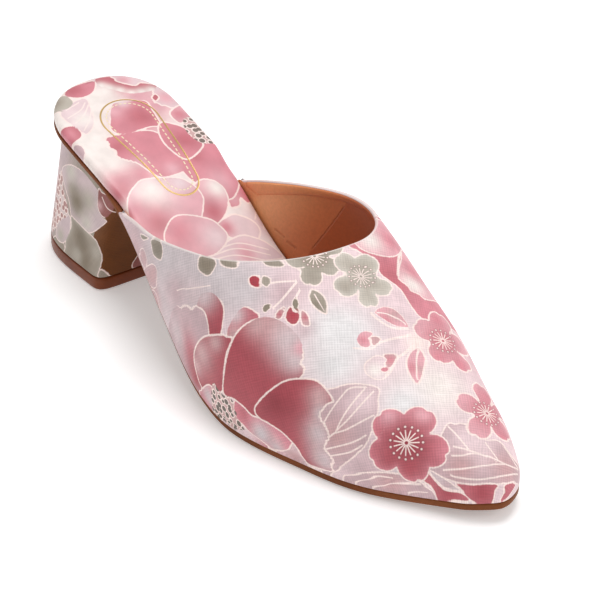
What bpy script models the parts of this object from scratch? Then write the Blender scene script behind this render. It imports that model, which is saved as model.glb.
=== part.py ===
"""Block heel mule, right shoe.

Outsole, block heel, heel top piece, padded insole and a hollow upper, all
worked out from the plan, the profile and the topline of one last.
"""
import math

import bmesh
import bpy
import numpy as np
from mathutils import Vector

# Sizes are in millimetres. A station is the distance from the back of the
# heel seat towards the toe. Lateral is -Y, medial is +Y, up is +Z.
MM = 0.001
CLEARANCE = 0.3

FOOT_LENGTH = 245.0
SEAT_HEIGHT = 55.7
SEAT_SLOPE = 0.22
ARCH_START = 45.0
ARCH_END = 150.0
TREAD_END = 185.0
TOE_SPRING = 4.8
SEAT_THICKNESS = 2.1
TREAD_THICKNESS = 2.9

HEEL_ROUND = 24.0
HEEL_FULLNESS = 2.24
TOE_ROUND = 9.0
TOE_SIDE = 9.0

WALL = 1.5
LATERAL_FULLNESS = 2.6
MEDIAL_FULLNESS = 2.7
CROWN = 2.3
TOE_BOX = 28.0
TOE_FULLNESS = 2.1
WING_ANGLE = 2.5
SPREAD_START = 100.0

INSOLE_STEP_START = 48.0
INSOLE_STEP_END = 61.0
INSOLE_SLACK = 0.3

TOP_PIECE_HEIGHT = 5.0
HEEL_MIDDLE = 0.7
BREAST_SQUARENESS = 9.0
BACK_SQUARENESS = 2.8

SIDE_POINTS = 56
HEEL_POINTS = 22
HEEL_RINGS = 6
UPPER_COLUMNS = 72
UPPER_ROWS = 16
SHARP_ANGLE = 40.0


def table(columns, *rows):
    """A small table whose columns are read by name."""
    return np.array(list(rows), dtype=[(name, float) for name in columns.split()])


# Half widths of the sole from the heel's axis to its two edges.
PLAN = table(
    "station lateral medial",
    (24, 24.1, 24.5),
    (60, 25.7, 24.2),
    (100, 32.6, 24.4),
    (130, 37.3, 33.6),
    (155, 37.0, 36.2),
    (180, 30.8, 36.4),
    (205, 22.2, 30.8),
    (228, 8.0, 25.0),
    (240, 0.2, 20.0),
    (FOOT_LENGTH, -3.2, 17.0),
)

# Cross sections of the upper: height and side of its ridge line, how far each
# side swells past a plain arch, and how far its foot stands over the sole.
SECTIONS = table(
    "station ridge ridge_side lateral_swell medial_swell overhang",
    (55, 94.0, 11.0, 0.5, 0.5, 0.6),
    (85, 89.0, 11.6, 5.2, 2.6, 0.6),
    (115, 76.0, 14.0, 5.6, 9.0, 0.6),
    (140, 61.6, 15.8, 8.3, 8.5, 0.6),
    (170, 48.5, 13.0, 5.0, 5.3, 0.5),
    (200, 36.7, 10.0, 3.6, 3.8, 0.3),
    (225, 27.8, 7.8, 1.9, 2.2, 0.2),
    (FOOT_LENGTH, 23.0, TOE_SIDE, 0.0, 0.0, 0.0),
)

# Where the collar lies, by the angle round the arch from lateral to medial.
TOPLINE = table(
    "angle station",
    (0, 62.0),
    (25, 97.0),
    (55, 129.6),
    (90, 146.3),
    (125, 130.0),
    (155, 93.4),
    (180, 65.4),
)

# The heel block's plan, from its foot (0) to the heel seat (1).
HEEL = table(
    "level back breast half_width",
    (0.0, -2.4, 45.8, 25.0),
    (0.35, 0.0, 46.8, 23.8),
    (0.7, 2.1, 49.6, 22.8),
    (1.0, 3.5, 54.5, 22.0),
)

# The top piece is the block's foot with a small bevel at the floor.
TOP_PIECE = table(
    "height inset",
    (0.0, 0.8),
    (0.8, 0.0),
    (TOP_PIECE_HEIGHT, 0.0),
)

# Edge profiles, from the underside up: inset from the edge and height.
OUTSOLE_EDGE = table(
    "inset share",
    (0.5, 0.0),
    (0.0, 0.25),
    (0.0, 1.0),
)
INSOLE_EDGE = table(
    "inset height",
    (0.7, 0.0),
    (0.0, 1.1),
    (0.2, 2.2),
    (1.1, 3.1),
    (3.0, 3.6),
)


def along(rows, column, x):
    """Reads a column where the first one is x, on a smooth curve through the rows."""
    knots = rows[rows.dtype.names[0]]
    values = rows[column]
    slopes = np.gradient(values, knots)
    x = np.clip(x, knots[0], knots[-1])
    i = np.clip(np.searchsorted(knots, x, side="right") - 1, 0, len(knots) - 2)
    span = knots[i + 1] - knots[i]
    t = (x - knots[i]) / span
    start = (1 + 2 * t) * values[i] + t * span * slopes[i]
    end = (3 - 2 * t) * values[i + 1] - (1 - t) * span * slopes[i + 1]
    return (1 - t) ** 2 * start + t ** 2 * end


def underside(s):
    """Height of the outsole's underside: seat, arch, flat tread, toe spring."""
    t = np.clip((s - ARCH_START) / (ARCH_END - ARCH_START), 0, 1)
    seat_end = SEAT_HEIGHT - SEAT_SLOPE * ARCH_START
    fall = SEAT_SLOPE * (ARCH_END - ARCH_START)
    arch = seat_end * (2 * t ** 3 - 3 * t ** 2 + 1) - fall * (t ** 3 - 2 * t ** 2 + t)
    seat = SEAT_SLOPE * np.maximum(ARCH_START - s, 0)
    tip = np.clip((s - TREAD_END) / (FOOT_LENGTH - TREAD_END), 0, 1)
    return arch + seat + TOE_SPRING * tip ** 2


def sole_thickness(s):
    return np.interp(s, (ARCH_START, ARCH_END), (SEAT_THICKNESS, TREAD_THICKNESS))


def sole_top(s):
    return underside(s) + sole_thickness(s)


def end_round(s):
    """Runs from 0 at either tip of the plan to 1 where its round end is over."""
    back = np.clip(1 - s / HEEL_ROUND, 0, 1)
    toe = np.clip(1 - (FOOT_LENGTH - s) / TOE_ROUND, 0, 1)
    heel = (1 - back ** HEEL_FULLNESS) ** (1 / HEEL_FULLNESS)
    return heel * np.sqrt(1 - toe ** 2)


def edge_side(s, side, outset):
    """Side position of the sole's edge, moved outwards by outset."""
    hand = -1 if side == "lateral" else 1
    r = end_round(s)
    centre = np.where(s > FOOT_LENGTH / 2, TOE_SIDE, 0)
    return centre * (1 - r) + hand * (along(PLAN, side, s) + outset) * r


def sole_ring(inset, height):
    """A ring round the sole: toe tip, lateral edge, heel back, medial edge."""
    turn = np.linspace(0, np.pi, SIDE_POINTS + 2)
    s = FOOT_LENGTH * (1 + np.cos(turn)) / 2
    moved = s + inset(s) * (1 - 2 * s / FOOT_LENGTH)
    sides = []
    for side in ("lateral", "medial"):
        sides.append(np.stack([moved, edge_side(s, side, -inset(s)), height(moved)], 1))
    return np.concatenate([sides[0], sides[1][-2:0:-1]])


def heel_ring(row, inset, height):
    """A ring round the heel: flat breast in front, full round at the back."""
    turn = np.linspace(0, np.pi, HEEL_POINTS + 2)
    back = row["back"] + inset
    breast = row["breast"] - inset
    middle = back + HEEL_MIDDLE * (breast - back)
    front = np.cos(turn) > 0
    power = 2 / np.where(front, BREAST_SQUARENESS, BACK_SQUARENESS)
    reach = np.where(front, breast - middle, back - middle)
    s = middle + reach * np.abs(np.cos(turn)) ** power
    y = (row["half_width"] - inset) * np.sin(turn).clip(0) ** power
    lateral = np.stack([s, -y, height(s)], 1)
    medial = np.stack([s, y, height(s)], 1)
    return np.concatenate([lateral, medial[-2:0:-1]])


def heel_row(level):
    return {column: along(HEEL, column, level) for column in HEEL.dtype.names[1:]}


def overhang(s):
    return along(SECTIONS, "overhang", s)


def upper_point(s, angle):
    """A point of the upper's outside at a station and an angle round its arch."""
    lateral = angle < np.pi / 2
    ridge_side = along(SECTIONS, "ridge_side", s)
    edge = np.where(
        lateral,
        edge_side(s, "lateral", overhang(s)),
        edge_side(s, "medial", overhang(s)),
    )
    fullness = np.where(lateral, LATERAL_FULLNESS, MEDIAL_FULLNESS)
    swell = np.where(
        lateral,
        -along(SECTIONS, "lateral_swell", s),
        along(SECTIONS, "medial_swell", s),
    )
    base = sole_top(s) + CLEARANCE
    toe = np.clip(1 - (FOOT_LENGTH - s) / TOE_BOX, 0, 1)
    rise = (along(SECTIONS, "ridge", s) - base) * np.sqrt(1 - toe ** TOE_FULLNESS)
    arch_side = (edge - ridge_side) * np.abs(np.cos(angle)) ** (2 / fullness)
    y = ridge_side + arch_side + swell * np.abs(np.sin(2 * angle))
    z = base + rise * np.abs(np.sin(angle)) ** (2 / CROWN)
    return np.stack([s, y, z], -1)


def spread(s):
    """Width of the rounded sheet on which the upper's grid is laid out."""
    t = np.clip((s - SPREAD_START) / (FOOT_LENGTH - SPREAD_START), 0, 1)
    return np.sqrt(1 - t ** 2)


def upper_place(t, w):
    """Station and angle on the upper.

    t runs round the shoe from the lateral wing past the toe to the medial
    wing, and w runs from the upper's foot to the collar.
    """
    hand = np.where(t < 0.5, -1, 1)
    towards_toe = 1 - np.abs(2 * t - 1)
    wing = along(TOPLINE, "station", np.where(t < 0.5, 0, 180))
    foot_s = wing + (FOOT_LENGTH - wing) * np.sin(towards_toe * np.pi / 2)
    top_angle = WING_ANGLE + (180 - 2 * WING_ANGLE) * t
    top_s = along(TOPLINE, "station", top_angle)
    foot_side = hand * spread(foot_s)
    top_side = -np.cos(np.radians(top_angle)) * spread(top_s)
    v = w ** 2
    s = foot_s + (top_s - foot_s) * v
    side = foot_side + (top_side - foot_side) * v
    share = side / np.maximum(spread(s), 1e-9)
    return s, np.arccos(np.clip(-share, -1, 1))


def cap(bm, loop):
    """Closes a ring with straight rungs between its two sides."""
    for i in range(len(loop) // 2):
        corners = (loop[i], loop[i + 1], loop[-i - 1], loop[-i])
        bm.faces.new(list(dict.fromkeys(corners)))


def add_part(name, bm, material, collection):
    """Makes an object of a mesh, smooth but for its sharp edges."""
    mesh = bpy.data.meshes.new(name)
    bm.to_mesh(mesh)
    bm.free()
    mesh.shade_smooth()
    mesh.set_sharp_from_angle(angle=math.radians(SHARP_ANGLE))
    mesh.materials.append(material)
    part = bpy.data.objects.new(name, mesh)
    collection.objects.link(part)
    return part


def loft(name, rings, material, collection):
    """A closed solid through rings that have the same number of points."""
    bm = bmesh.new()
    loops = [[bm.verts.new(point * MM) for point in ring] for ring in rings]
    for low, high in zip(loops, loops[1:]):
        for i in range(len(low)):
            bm.faces.new((low[i - 1], low[i], high[i], high[i - 1]))
    cap(bm, loops[0])
    cap(bm, loops[-1])
    bmesh.ops.recalc_face_normals(bm, faces=bm.faces)
    return add_part(name, bm, material, collection)


def make_outsole(material, collection):
    rings = []
    for row in OUTSOLE_EDGE:
        rings.append(sole_ring(
            lambda s, row=row: row["inset"] + 0 * s,
            lambda s, row=row: underside(s) + row["share"] * sole_thickness(s),
        ))
    return loft("outsole", rings, material, collection)


def insole_inset(s):
    """The insole fills the seat, then steps in to lie inside the upper."""
    t = np.clip((s - INSOLE_STEP_START) / (INSOLE_STEP_END - INSOLE_STEP_START), 0, 1)
    inside = WALL + CLEARANCE + INSOLE_SLACK - overhang(s)
    return inside * t * t * (3 - 2 * t)


def make_insole(material, collection):
    rings = []
    for row in INSOLE_EDGE:
        rings.append(sole_ring(
            lambda s, row=row: insole_inset(s) + row["inset"],
            lambda s, row=row: sole_top(s) + CLEARANCE + row["height"],
        ))
    return loft("insole", rings, material, collection)


def make_heel_block(material, collection):
    foot = TOP_PIECE_HEIGHT + CLEARANCE
    rings = []
    for level in np.linspace(0, 1, HEEL_RINGS):
        rings.append(heel_ring(
            heel_row(level),
            0,
            lambda s, level=level: foot + level * (underside(s) - CLEARANCE - foot),
        ))
    return loft("heel_block", rings, material, collection)


def make_heel_top_piece(material, collection):
    rings = []
    for row in TOP_PIECE:
        rings.append(heel_ring(
            heel_row(0.0),
            row["inset"],
            lambda s, row=row: row["height"] + 0 * s,
        ))
    return loft("heel_top_piece", rings, material, collection)


def make_upper(material, collection):
    """The vamp: a sheet laid over the last, thickened inwards to its wall."""
    bm = bmesh.new()
    bmesh.ops.create_grid(bm, x_segments=UPPER_COLUMNS, y_segments=UPPER_ROWS, size=0.5)
    for vert in bm.verts:
        s, angle = upper_place(vert.co.x + 0.5, vert.co.y + 0.5)
        vert.co = Vector(upper_point(s, angle) * MM)
    part = add_part("upper", bm, material, collection)
    shell = part.modifiers.new("wall", "SOLIDIFY")
    shell.thickness = WALL * MM
    shell.offset = -1
    shell.use_even_offset = True
    shell.use_quality_normals = True
    return part


def make_material(name, colour, roughness, metallic=0.0):
    material = bpy.data.materials.new(name)
    material.use_nodes = True
    shader = material.node_tree.nodes["Principled BSDF"]
    shader.inputs["Base Color"].default_value = (*colour, 1)
    shader.inputs["Roughness"].default_value = roughness
    shader.inputs["Metallic"].default_value = metallic
    return material


def centre_over_origin(parts, collection):
    """Hangs the parts on an empty that puts the origin under their middle."""
    bpy.context.view_layer.update()
    depsgraph = bpy.context.evaluated_depsgraph_get()
    corners = []
    for part in parts:
        corners.extend(part.evaluated_get(depsgraph).bound_box)
    corners = np.array(corners)
    middle = (corners.min(axis=0) + corners.max(axis=0)) / 2
    last = bpy.data.objects.new("last_axis", None)
    collection.objects.link(last)
    last.location = (-middle[0], -middle[1], 0)
    for part in parts:
        part.parent = last


def main():
    for old in list(bpy.data.objects):
        bpy.data.objects.remove(old, do_unlink=True)
    shoe = bpy.data.collections.new("block_heel_mule")
    bpy.context.scene.collection.children.link(shoe)
    parts = [
        make_outsole(make_material("outsole_tan", (0.27, 0.12, 0.05), 0.5), shoe),
        make_heel_block(make_material("heel_print", (0.45, 0.40, 0.38), 0.6), shoe),
        make_heel_top_piece(make_material("top_piece_brown", (0.13, 0.045, 0.02), 0.4), shoe),
        make_insole(make_material("insole_print", (0.74, 0.48, 0.47), 0.6), shoe),
        make_upper(make_material("upper_print", (0.70, 0.42, 0.44), 0.6), shoe),
    ]
    centre_over_origin(parts, shoe)


main()
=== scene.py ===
# %% [markdown]
# # Block heel mule, right shoe
# A mule is a shoe with no back: a vamp over the toes, an insole to step on and
# a block heel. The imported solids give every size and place. This lesson dresses
# them as the real shoe is dressed: printed cloth over the vamp, heel and insole,
# a tan lining, a brown sole and a brown wearing piece.

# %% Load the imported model
import math

import bmesh
import bpy
import numpy as np
from mathutils import Matrix, Vector


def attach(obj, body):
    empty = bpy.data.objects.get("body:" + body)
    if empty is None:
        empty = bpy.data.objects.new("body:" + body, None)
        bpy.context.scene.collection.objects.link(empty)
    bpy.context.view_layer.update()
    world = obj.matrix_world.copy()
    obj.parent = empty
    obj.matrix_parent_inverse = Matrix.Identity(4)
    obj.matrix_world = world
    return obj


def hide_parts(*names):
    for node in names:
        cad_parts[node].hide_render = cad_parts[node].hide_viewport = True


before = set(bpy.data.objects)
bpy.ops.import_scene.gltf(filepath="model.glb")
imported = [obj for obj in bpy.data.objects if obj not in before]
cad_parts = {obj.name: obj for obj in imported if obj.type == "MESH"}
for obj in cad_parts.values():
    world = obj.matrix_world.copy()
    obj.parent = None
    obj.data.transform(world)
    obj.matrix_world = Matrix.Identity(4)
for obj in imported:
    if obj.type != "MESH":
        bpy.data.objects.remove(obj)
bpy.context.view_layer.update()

# %% [markdown]
# ## Camera
# A shoe in a catalogue is shown from the front and above with a long lens, so
# that the toe isn't swollen by being near. The eye stands where it stood for the
# photograph, and looks at the middle of this one shoe.

# %% Aim the camera
MM = 0.001
EYE = Vector((1068.9, -763.2, 852.1)) * MM
AIM = Vector((8.5, 5.5, 30.0)) * MM
CAMERA_ROLL = math.radians(0.91)
LENS_MM, SENSOR_MM = 262.0, 36.0
FARTHEST = 20.0


def aim_camera():
    """A camera whose picture is level but for a small roll."""
    back = (EYE - AIM).normalized()
    right = Vector((0, 0, 1)).cross(back).normalized()
    up = back.cross(right)
    turned = Matrix((right, up, back)).transposed() @ Matrix.Rotation(CAMERA_ROLL, 3, "Z")
    data = bpy.data.cameras.new("camera")
    data.lens, data.sensor_width = LENS_MM, SENSOR_MM
    data.clip_end = FARTHEST
    camera = bpy.data.objects.new("camera", data)
    camera.matrix_world = Matrix.Translation(EYE) @ turned.to_4x4()
    bpy.context.scene.collection.objects.link(camera)
    bpy.context.scene.camera = camera
    return camera


camera = aim_camera()
print("camera at", [round(x, 3) for x in camera.location], "lens", LENS_MM)

# %% [markdown]
# ## Finishes
# Every surface gets a material made of nodes. Wiring nodes by hand takes many
# lines, so a small bench does it: each call lays one node, wires its inputs and
# hands back an output for the next call.

# %% A bench for materials
NOISE_LOW, NOISE_HIGH = 0.3, 0.7


def linear(red, green, blue):
    """A colour as the eye reads it, 0 to 255, turned to the light it stands for."""
    share = np.array((red, green, blue)) / 255
    light = np.where(share > 0.04045, ((share + 0.055) / 1.055) ** 2.4, share / 12.92)
    return (*light.tolist(), 1.0)


class Finish:
    """A material on the bench."""

    def __init__(self, name, **sockets):
        self.material = bpy.data.materials.new(name)
        self.material.use_nodes = True
        self.nodes = self.material.node_tree.nodes
        self.shader = self.nodes["Principled BSDF"]
        self.done(**sockets)

    def feed(self, node, inputs):
        for key, value in inputs.items():
            if isinstance(value, bpy.types.NodeSocket):
                self.material.node_tree.links.new(value, node.inputs[key])
            else:
                node.inputs[key].default_value = value
        return node

    def lay(self, kind, inputs, **settings):
        node = self.nodes.new("ShaderNode" + kind)
        for key, value in settings.items():
            setattr(node, key, value)
        return self.feed(node, inputs)

    def read(self, attribute):
        return self.lay("Attribute", {}, attribute_name=attribute).outputs

    def maths(self, operation, *values):
        return self.lay("Math", dict(enumerate(values)), operation=operation).outputs[0]

    def vectors(self, operation, first, second):
        return self.lay("VectorMath", {0: first, 1: second}, operation=operation).outputs

    def ramp(self, value, start, end, low=0.0, high=1.0):
        """Runs smoothly from low to high while value goes from start to end."""
        inputs = {"Value": value, "From Min": start, "From Max": end, "To Min": low, "To Max": high}
        return self.lay("MapRange", inputs, interpolation_type="SMOOTHSTEP").outputs[0]

    def blend(self, share, first, second, blend_type="MIX"):
        node = self.lay("Mix", {0: share, 6: first, 7: second}, data_type="RGBA", blend_type=blend_type)
        return node.outputs[2]

    def on_object(self):
        return self.lay("TexCoord", {}).outputs["Object"]

    def noise(self, scale, detail=2.0, place=None):
        inputs = {"Vector": place or self.on_object(), "Scale": scale, "Detail": detail}
        return self.lay("TexNoise", inputs).outputs["Fac"]

    def clouded(self, noise, low=0.0, high=1.0):
        """Noise keeps close to its middle; this spreads it from low to high."""
        return self.ramp(noise, NOISE_LOW, NOISE_HIGH, low, high)

    def bump(self, height, distance, strength):
        inputs = {"Height": height, "Distance": distance, "Strength": strength}
        return self.lay("Bump", inputs).outputs["Normal"]

    def done(self, **sockets):
        self.feed(self.shader, {key.replace("_", " "): value for key, value in sockets.items()})
        return self.material


print("bench ready")

# %% [markdown]
# ## Studio
# The shoe stands on a pale sweep under large soft lamps, so shadows are faint
# and close to the sole. One big lamp overhead, a second by the toe and a white
# room do that.

# %% Floor, lamps and room
FLOOR_SIZE, FLOOR_CELLS = 6.0, 8
PAPER, PALE_PAPER, PAPER_GLOW = (246, 246, 247), (250, 250, 250), 0.3
ROOM_LIGHT, ROOM_STRENGTH = (255, 252, 250), 0.5
# Name, place, what it points at, width in metres, watts.
LAMPS = (
    ("top_lamp", (-0.2, 0.25, 1.6), (0, 0, 0), 1.1, 15),
    ("toe_lamp", (1.4, 0.5, 1.1), (0, 0, 0.03), 0.9, 5),
)


def make_floor():
    bm = bmesh.new()
    bmesh.ops.create_grid(bm, x_segments=FLOOR_CELLS, y_segments=FLOOR_CELLS, size=FLOOR_SIZE / 2)
    mesh = bpy.data.meshes.new("studio_floor")
    bm.to_mesh(mesh)
    bm.free()
    floor = bpy.data.objects.new("studio_floor", mesh)
    bpy.context.scene.collection.objects.link(floor)
    paper = Finish("studio_paper", Roughness=0.7, Emission_Color=linear(255, 255, 255),
                   Emission_Strength=PAPER_GLOW)
    mottle = paper.clouded(paper.noise(3.0))
    mesh.materials.append(paper.done(Base_Color=paper.blend(mottle, linear(*PAPER), linear(*PALE_PAPER))))


def add_lamp(name, place, target, size, watts):
    data = bpy.data.lights.new(name, "AREA")
    data.shape, data.size, data.energy = "DISK", size, watts
    lamp = bpy.data.objects.new(name, data)
    lamp.location = place
    lamp.rotation_euler = (Vector(target) - Vector(place)).to_track_quat("-Z", "Y").to_euler()
    bpy.context.scene.collection.objects.link(lamp)


make_floor()
for lamp in LAMPS:
    add_lamp(*lamp)
room = bpy.data.worlds.new("white_room")
room.use_nodes = True
walls = room.node_tree.nodes["Background"]
walls.inputs["Color"].default_value = linear(*ROOM_LIGHT)
walls.inputs["Strength"].default_value = ROOM_STRENGTH
bpy.context.scene.world = room
bpy.context.scene.view_settings.view_transform = "Standard"
print("studio lit by", len(LAMPS), "lamps and a white room")

# %% [markdown]
# ## The last
# A shoe is built on a last, a foot-shaped block. These tables repeat the last of
# the solids in millimetres: a station is the distance from the back of the heel
# seat towards the toe, lateral is -Y and medial is +Y. With them the cloth can be
# laid on the same surface, only with a much finer mesh.

# %% The last's sizes
CLEARANCE = 0.3
FOOT_LENGTH = 245.0
SEAT_HEIGHT, SEAT_SLOPE = 55.7, 0.22
ARCH_START, ARCH_END, TREAD_END = 45.0, 150.0, 185.0
TOE_SPRING, SEAT_THICKNESS, TREAD_THICKNESS = 4.8, 2.1, 2.9
HEEL_ROUND, HEEL_FULLNESS = 24.0, 2.24
TOE_ROUND, TOE_SIDE = 9.0, 9.0
WALL = 1.5
LATERAL_FULLNESS, MEDIAL_FULLNESS, CROWN = 2.6, 2.7, 2.3
TOE_BOX, TOE_FULLNESS = 28.0, 2.1
WING_ANGLE, SPREAD_START = 2.5, 100.0
# The part's frame has its origin under the middle of the box, not under the heel.
TO_FRAME = np.array((-121.3, 0.04, 0.0))


def table(columns, *rows):
    """A small table whose columns are read by name."""
    return np.array(list(rows), dtype=[(name, float) for name in columns.split()])


PLAN = table(
    "station lateral medial",
    (24, 24.1, 24.5), (60, 25.7, 24.2), (100, 32.6, 24.4), (130, 37.3, 33.6),
    (155, 37.0, 36.2), (180, 30.8, 36.4), (205, 22.2, 30.8), (228, 8.0, 25.0),
    (240, 0.2, 20.0), (FOOT_LENGTH, -3.2, 17.0),
)
SECTIONS = table(
    "station ridge ridge_side lateral_swell medial_swell overhang",
    (55, 94.0, 11.0, 0.5, 0.5, 0.6), (85, 89.0, 11.6, 5.2, 2.6, 0.6),
    (115, 76.0, 14.0, 5.6, 9.0, 0.6), (140, 61.6, 15.8, 8.3, 8.5, 0.6),
    (170, 48.5, 13.0, 5.0, 5.3, 0.5), (200, 36.7, 10.0, 3.6, 3.8, 0.3),
    (225, 27.8, 7.8, 1.9, 2.2, 0.2), (FOOT_LENGTH, 23.0, TOE_SIDE, 0.0, 0.0, 0.0),
)
TOPLINE = table(
    "angle station",
    (0, 62.0), (25, 97.0), (55, 129.6), (90, 146.3), (125, 130.0), (155, 93.4), (180, 65.4),
)
HEEL = table(
    "level back breast half_width",
    (0.0, -2.4, 45.8, 25.0), (0.35, 0.0, 46.8, 23.8), (0.7, 2.1, 49.6, 22.8), (1.0, 3.5, 54.5, 22.0),
)
print("last:", FOOT_LENGTH, "mm long, seat", SEAT_HEIGHT, "mm up")

# %% Curves of the last
def smooth(knots, values, x):
    """Reads values at x on a smooth curve through the knots."""
    slopes = np.gradient(values, knots, axis=0)
    x = np.clip(x, knots[0], knots[-1])
    i = np.clip(np.searchsorted(knots, x, side="right") - 1, 0, len(knots) - 2)
    span = knots[i + 1] - knots[i]
    t = (x - knots[i]) / span
    if values.ndim > 1:
        span, t = span[:, None], t[:, None]
    start = (1 + 2 * t) * values[i] + t * span * slopes[i]
    end = (3 - 2 * t) * values[i + 1] - (1 - t) * span * slopes[i + 1]
    return (1 - t) ** 2 * start + t ** 2 * end


def along(rows, column, x):
    return smooth(rows[rows.dtype.names[0]], rows[column], x)


def underside(s):
    """Height of the sole's underside: seat, arch, flat tread, toe spring."""
    t = np.clip((s - ARCH_START) / (ARCH_END - ARCH_START), 0, 1)
    seat_end = SEAT_HEIGHT - SEAT_SLOPE * ARCH_START
    fall = SEAT_SLOPE * (ARCH_END - ARCH_START)
    arch = seat_end * (2 * t ** 3 - 3 * t ** 2 + 1) - fall * (t ** 3 - 2 * t ** 2 + t)
    seat = SEAT_SLOPE * np.maximum(ARCH_START - s, 0)
    tip = np.clip((s - TREAD_END) / (FOOT_LENGTH - TREAD_END), 0, 1)
    return arch + seat + TOE_SPRING * tip ** 2


def sole_thickness(s):
    return np.interp(s, (ARCH_START, ARCH_END), (SEAT_THICKNESS, TREAD_THICKNESS))


def sole_top(s):
    return underside(s) + sole_thickness(s)


def edge_side(s, side, outset):
    """Side position of the sole's edge, moved outwards by outset."""
    hand = -1 if side == "lateral" else 1
    back = np.clip(1 - s / HEEL_ROUND, 0, 1)
    toe = np.clip(1 - (FOOT_LENGTH - s) / TOE_ROUND, 0, 1)
    r = (1 - back ** HEEL_FULLNESS) ** (1 / HEEL_FULLNESS) * np.sqrt(1 - toe ** 2)
    centre = np.where(s > FOOT_LENGTH / 2, TOE_SIDE, 0)
    return centre * (1 - r) + hand * (along(PLAN, side, s) + outset) * r


def overhang(s):
    return along(SECTIONS, "overhang", s)


def upper_point(s, angle):
    """A point of the vamp's outside at a station and an angle round its arch."""
    lateral = angle < np.pi / 2
    ridge_side = along(SECTIONS, "ridge_side", s)
    edge = [edge_side(s, side, overhang(s)) for side in ("lateral", "medial")]
    fullness = np.where(lateral, LATERAL_FULLNESS, MEDIAL_FULLNESS)
    swell = np.where(lateral, -along(SECTIONS, "lateral_swell", s), along(SECTIONS, "medial_swell", s))
    base = sole_top(s) + CLEARANCE
    toe = np.clip(1 - (FOOT_LENGTH - s) / TOE_BOX, 0, 1)
    rise = (along(SECTIONS, "ridge", s) - base) * np.sqrt(1 - toe ** TOE_FULLNESS)
    arch_side = (np.where(lateral, *edge) - ridge_side) * np.abs(np.cos(angle)) ** (2 / fullness)
    y = ridge_side + arch_side + swell * np.abs(np.sin(2 * angle))
    z = base + rise * np.abs(np.sin(angle)) ** (2 / CROWN)
    return np.stack([s, y, z], -1)


def spread(s):
    t = np.clip((s - SPREAD_START) / (FOOT_LENGTH - SPREAD_START), 0, 1)
    return np.sqrt(1 - t ** 2)


def upper_place(t, v):
    """Station and angle: t runs round the shoe from the lateral wing past the toe
    to the medial wing, v from the foot of the vamp to its collar."""
    hand = np.where(t < 0.5, -1, 1)
    towards_toe = 1 - np.abs(2 * t - 1)
    wing = along(TOPLINE, "station", np.where(t < 0.5, 0, 180))
    foot_s = wing + (FOOT_LENGTH - wing) * np.sin(towards_toe * np.pi / 2)
    top_angle = WING_ANGLE + (180 - 2 * WING_ANGLE) * t
    top_s = along(TOPLINE, "station", top_angle)
    foot_side = hand * spread(foot_s)
    top_side = -np.cos(np.radians(top_angle)) * spread(top_s)
    s = foot_s + (top_s - foot_s) * v
    side = foot_side + (top_side - foot_side) * v
    return s, np.arccos(np.clip(-side / np.maximum(spread(s), 1e-9), -1, 1))


def vamp_point(t, v):
    return upper_point(*upper_place(t, v))


throat = vamp_point(np.array(0.5), np.array(1.0))
print("throat of the vamp at", np.round(throat, 1), "mm")

# %% [markdown]
# ## Meshes from grids
# Every piece here is a tube that could be cut open and unrolled, so each starts as
# Blender's own grid. The grid's corners are moved to points worked out from the
# last, its two long edges are welded to a tube, and open ends are filled.

# %% Turn a grid of points into a piece
WELD = 1e-6


def keep(mesh, key, values, kind="FLOAT_VECTOR", field="vector"):
    """Keeps a value on each corner of a mesh, for the materials to read."""
    layer = mesh.attributes.new(key, kind, "POINT")
    layer.data.foreach_set(field, values.astype(np.float32).ravel())


def flat_cloth(mesh):
    """Each corner's place on the flat cloth, and its row number where it is inside."""
    values = np.zeros(len(mesh.vertices) * 3, np.float32)
    mesh.attributes["cloth"].data.foreach_get("vector", values)
    return values.reshape(-1, 3)


def grid_mesh(name, points, flat=None):
    """points is columns x rows x 3 in last millimetres; flat is their place on the flat cloth."""
    columns, rows = points.shape[0] - 1, points.shape[1] - 1
    bm = bmesh.new()
    bmesh.ops.create_grid(bm, x_segments=columns, y_segments=rows, size=0.5)
    mesh = bpy.data.meshes.new(name)
    bm.to_mesh(mesh)
    place = np.zeros(len(mesh.vertices) * 3)
    mesh.vertices.foreach_get("co", place)
    place = place.reshape(-1, 3)
    i = np.rint((place[:, 0] + 0.5) * columns).astype(int)
    j = np.rint((place[:, 1] + 0.5) * rows).astype(int)
    mesh.vertices.foreach_set("co", ((points[i, j] + TO_FRAME) * MM).ravel())
    if flat is not None:
        keep(mesh, "cloth", flat[i, j])
    bm.clear()
    bm.from_mesh(mesh)
    bmesh.ops.remove_doubles(bm, verts=bm.verts, dist=WELD)
    bmesh.ops.dissolve_degenerate(bm, edges=bm.edges, dist=WELD)
    bmesh.ops.holes_fill(bm, edges=[edge for edge in bm.edges if edge.is_boundary], sides=0)
    bmesh.ops.recalc_face_normals(bm, faces=bm.faces)
    bm.to_mesh(mesh)
    bm.free()
    mesh.shade_smooth()
    return mesh


def add_piece(name, mesh, materials, node):
    """Puts a finished mesh in the scene, on the shoe's one body."""
    for material in materials:
        mesh.materials.append(material)
    piece = bpy.data.objects.new(name, mesh)
    bpy.context.scene.collection.objects.link(piece)
    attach(piece, "root")
    if node:
        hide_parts(node)
    triangles = sum(len(face.vertices) - 2 for face in mesh.polygons)
    print(name, len(mesh.vertices), "corners,", triangles, "triangles")
    return piece


print("grids are welded at", WELD, "m")

# %% [markdown]
# ## The vamp's wall
# The real wall is printed cloth, a stiffener and a lining glued together, with
# the cloth folded over the collar. One tube of mesh can be all of it: up the
# outside with a fine mesh that will carry the print, over the collar in a half
# round, and down the inside with fewer rows.

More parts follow.
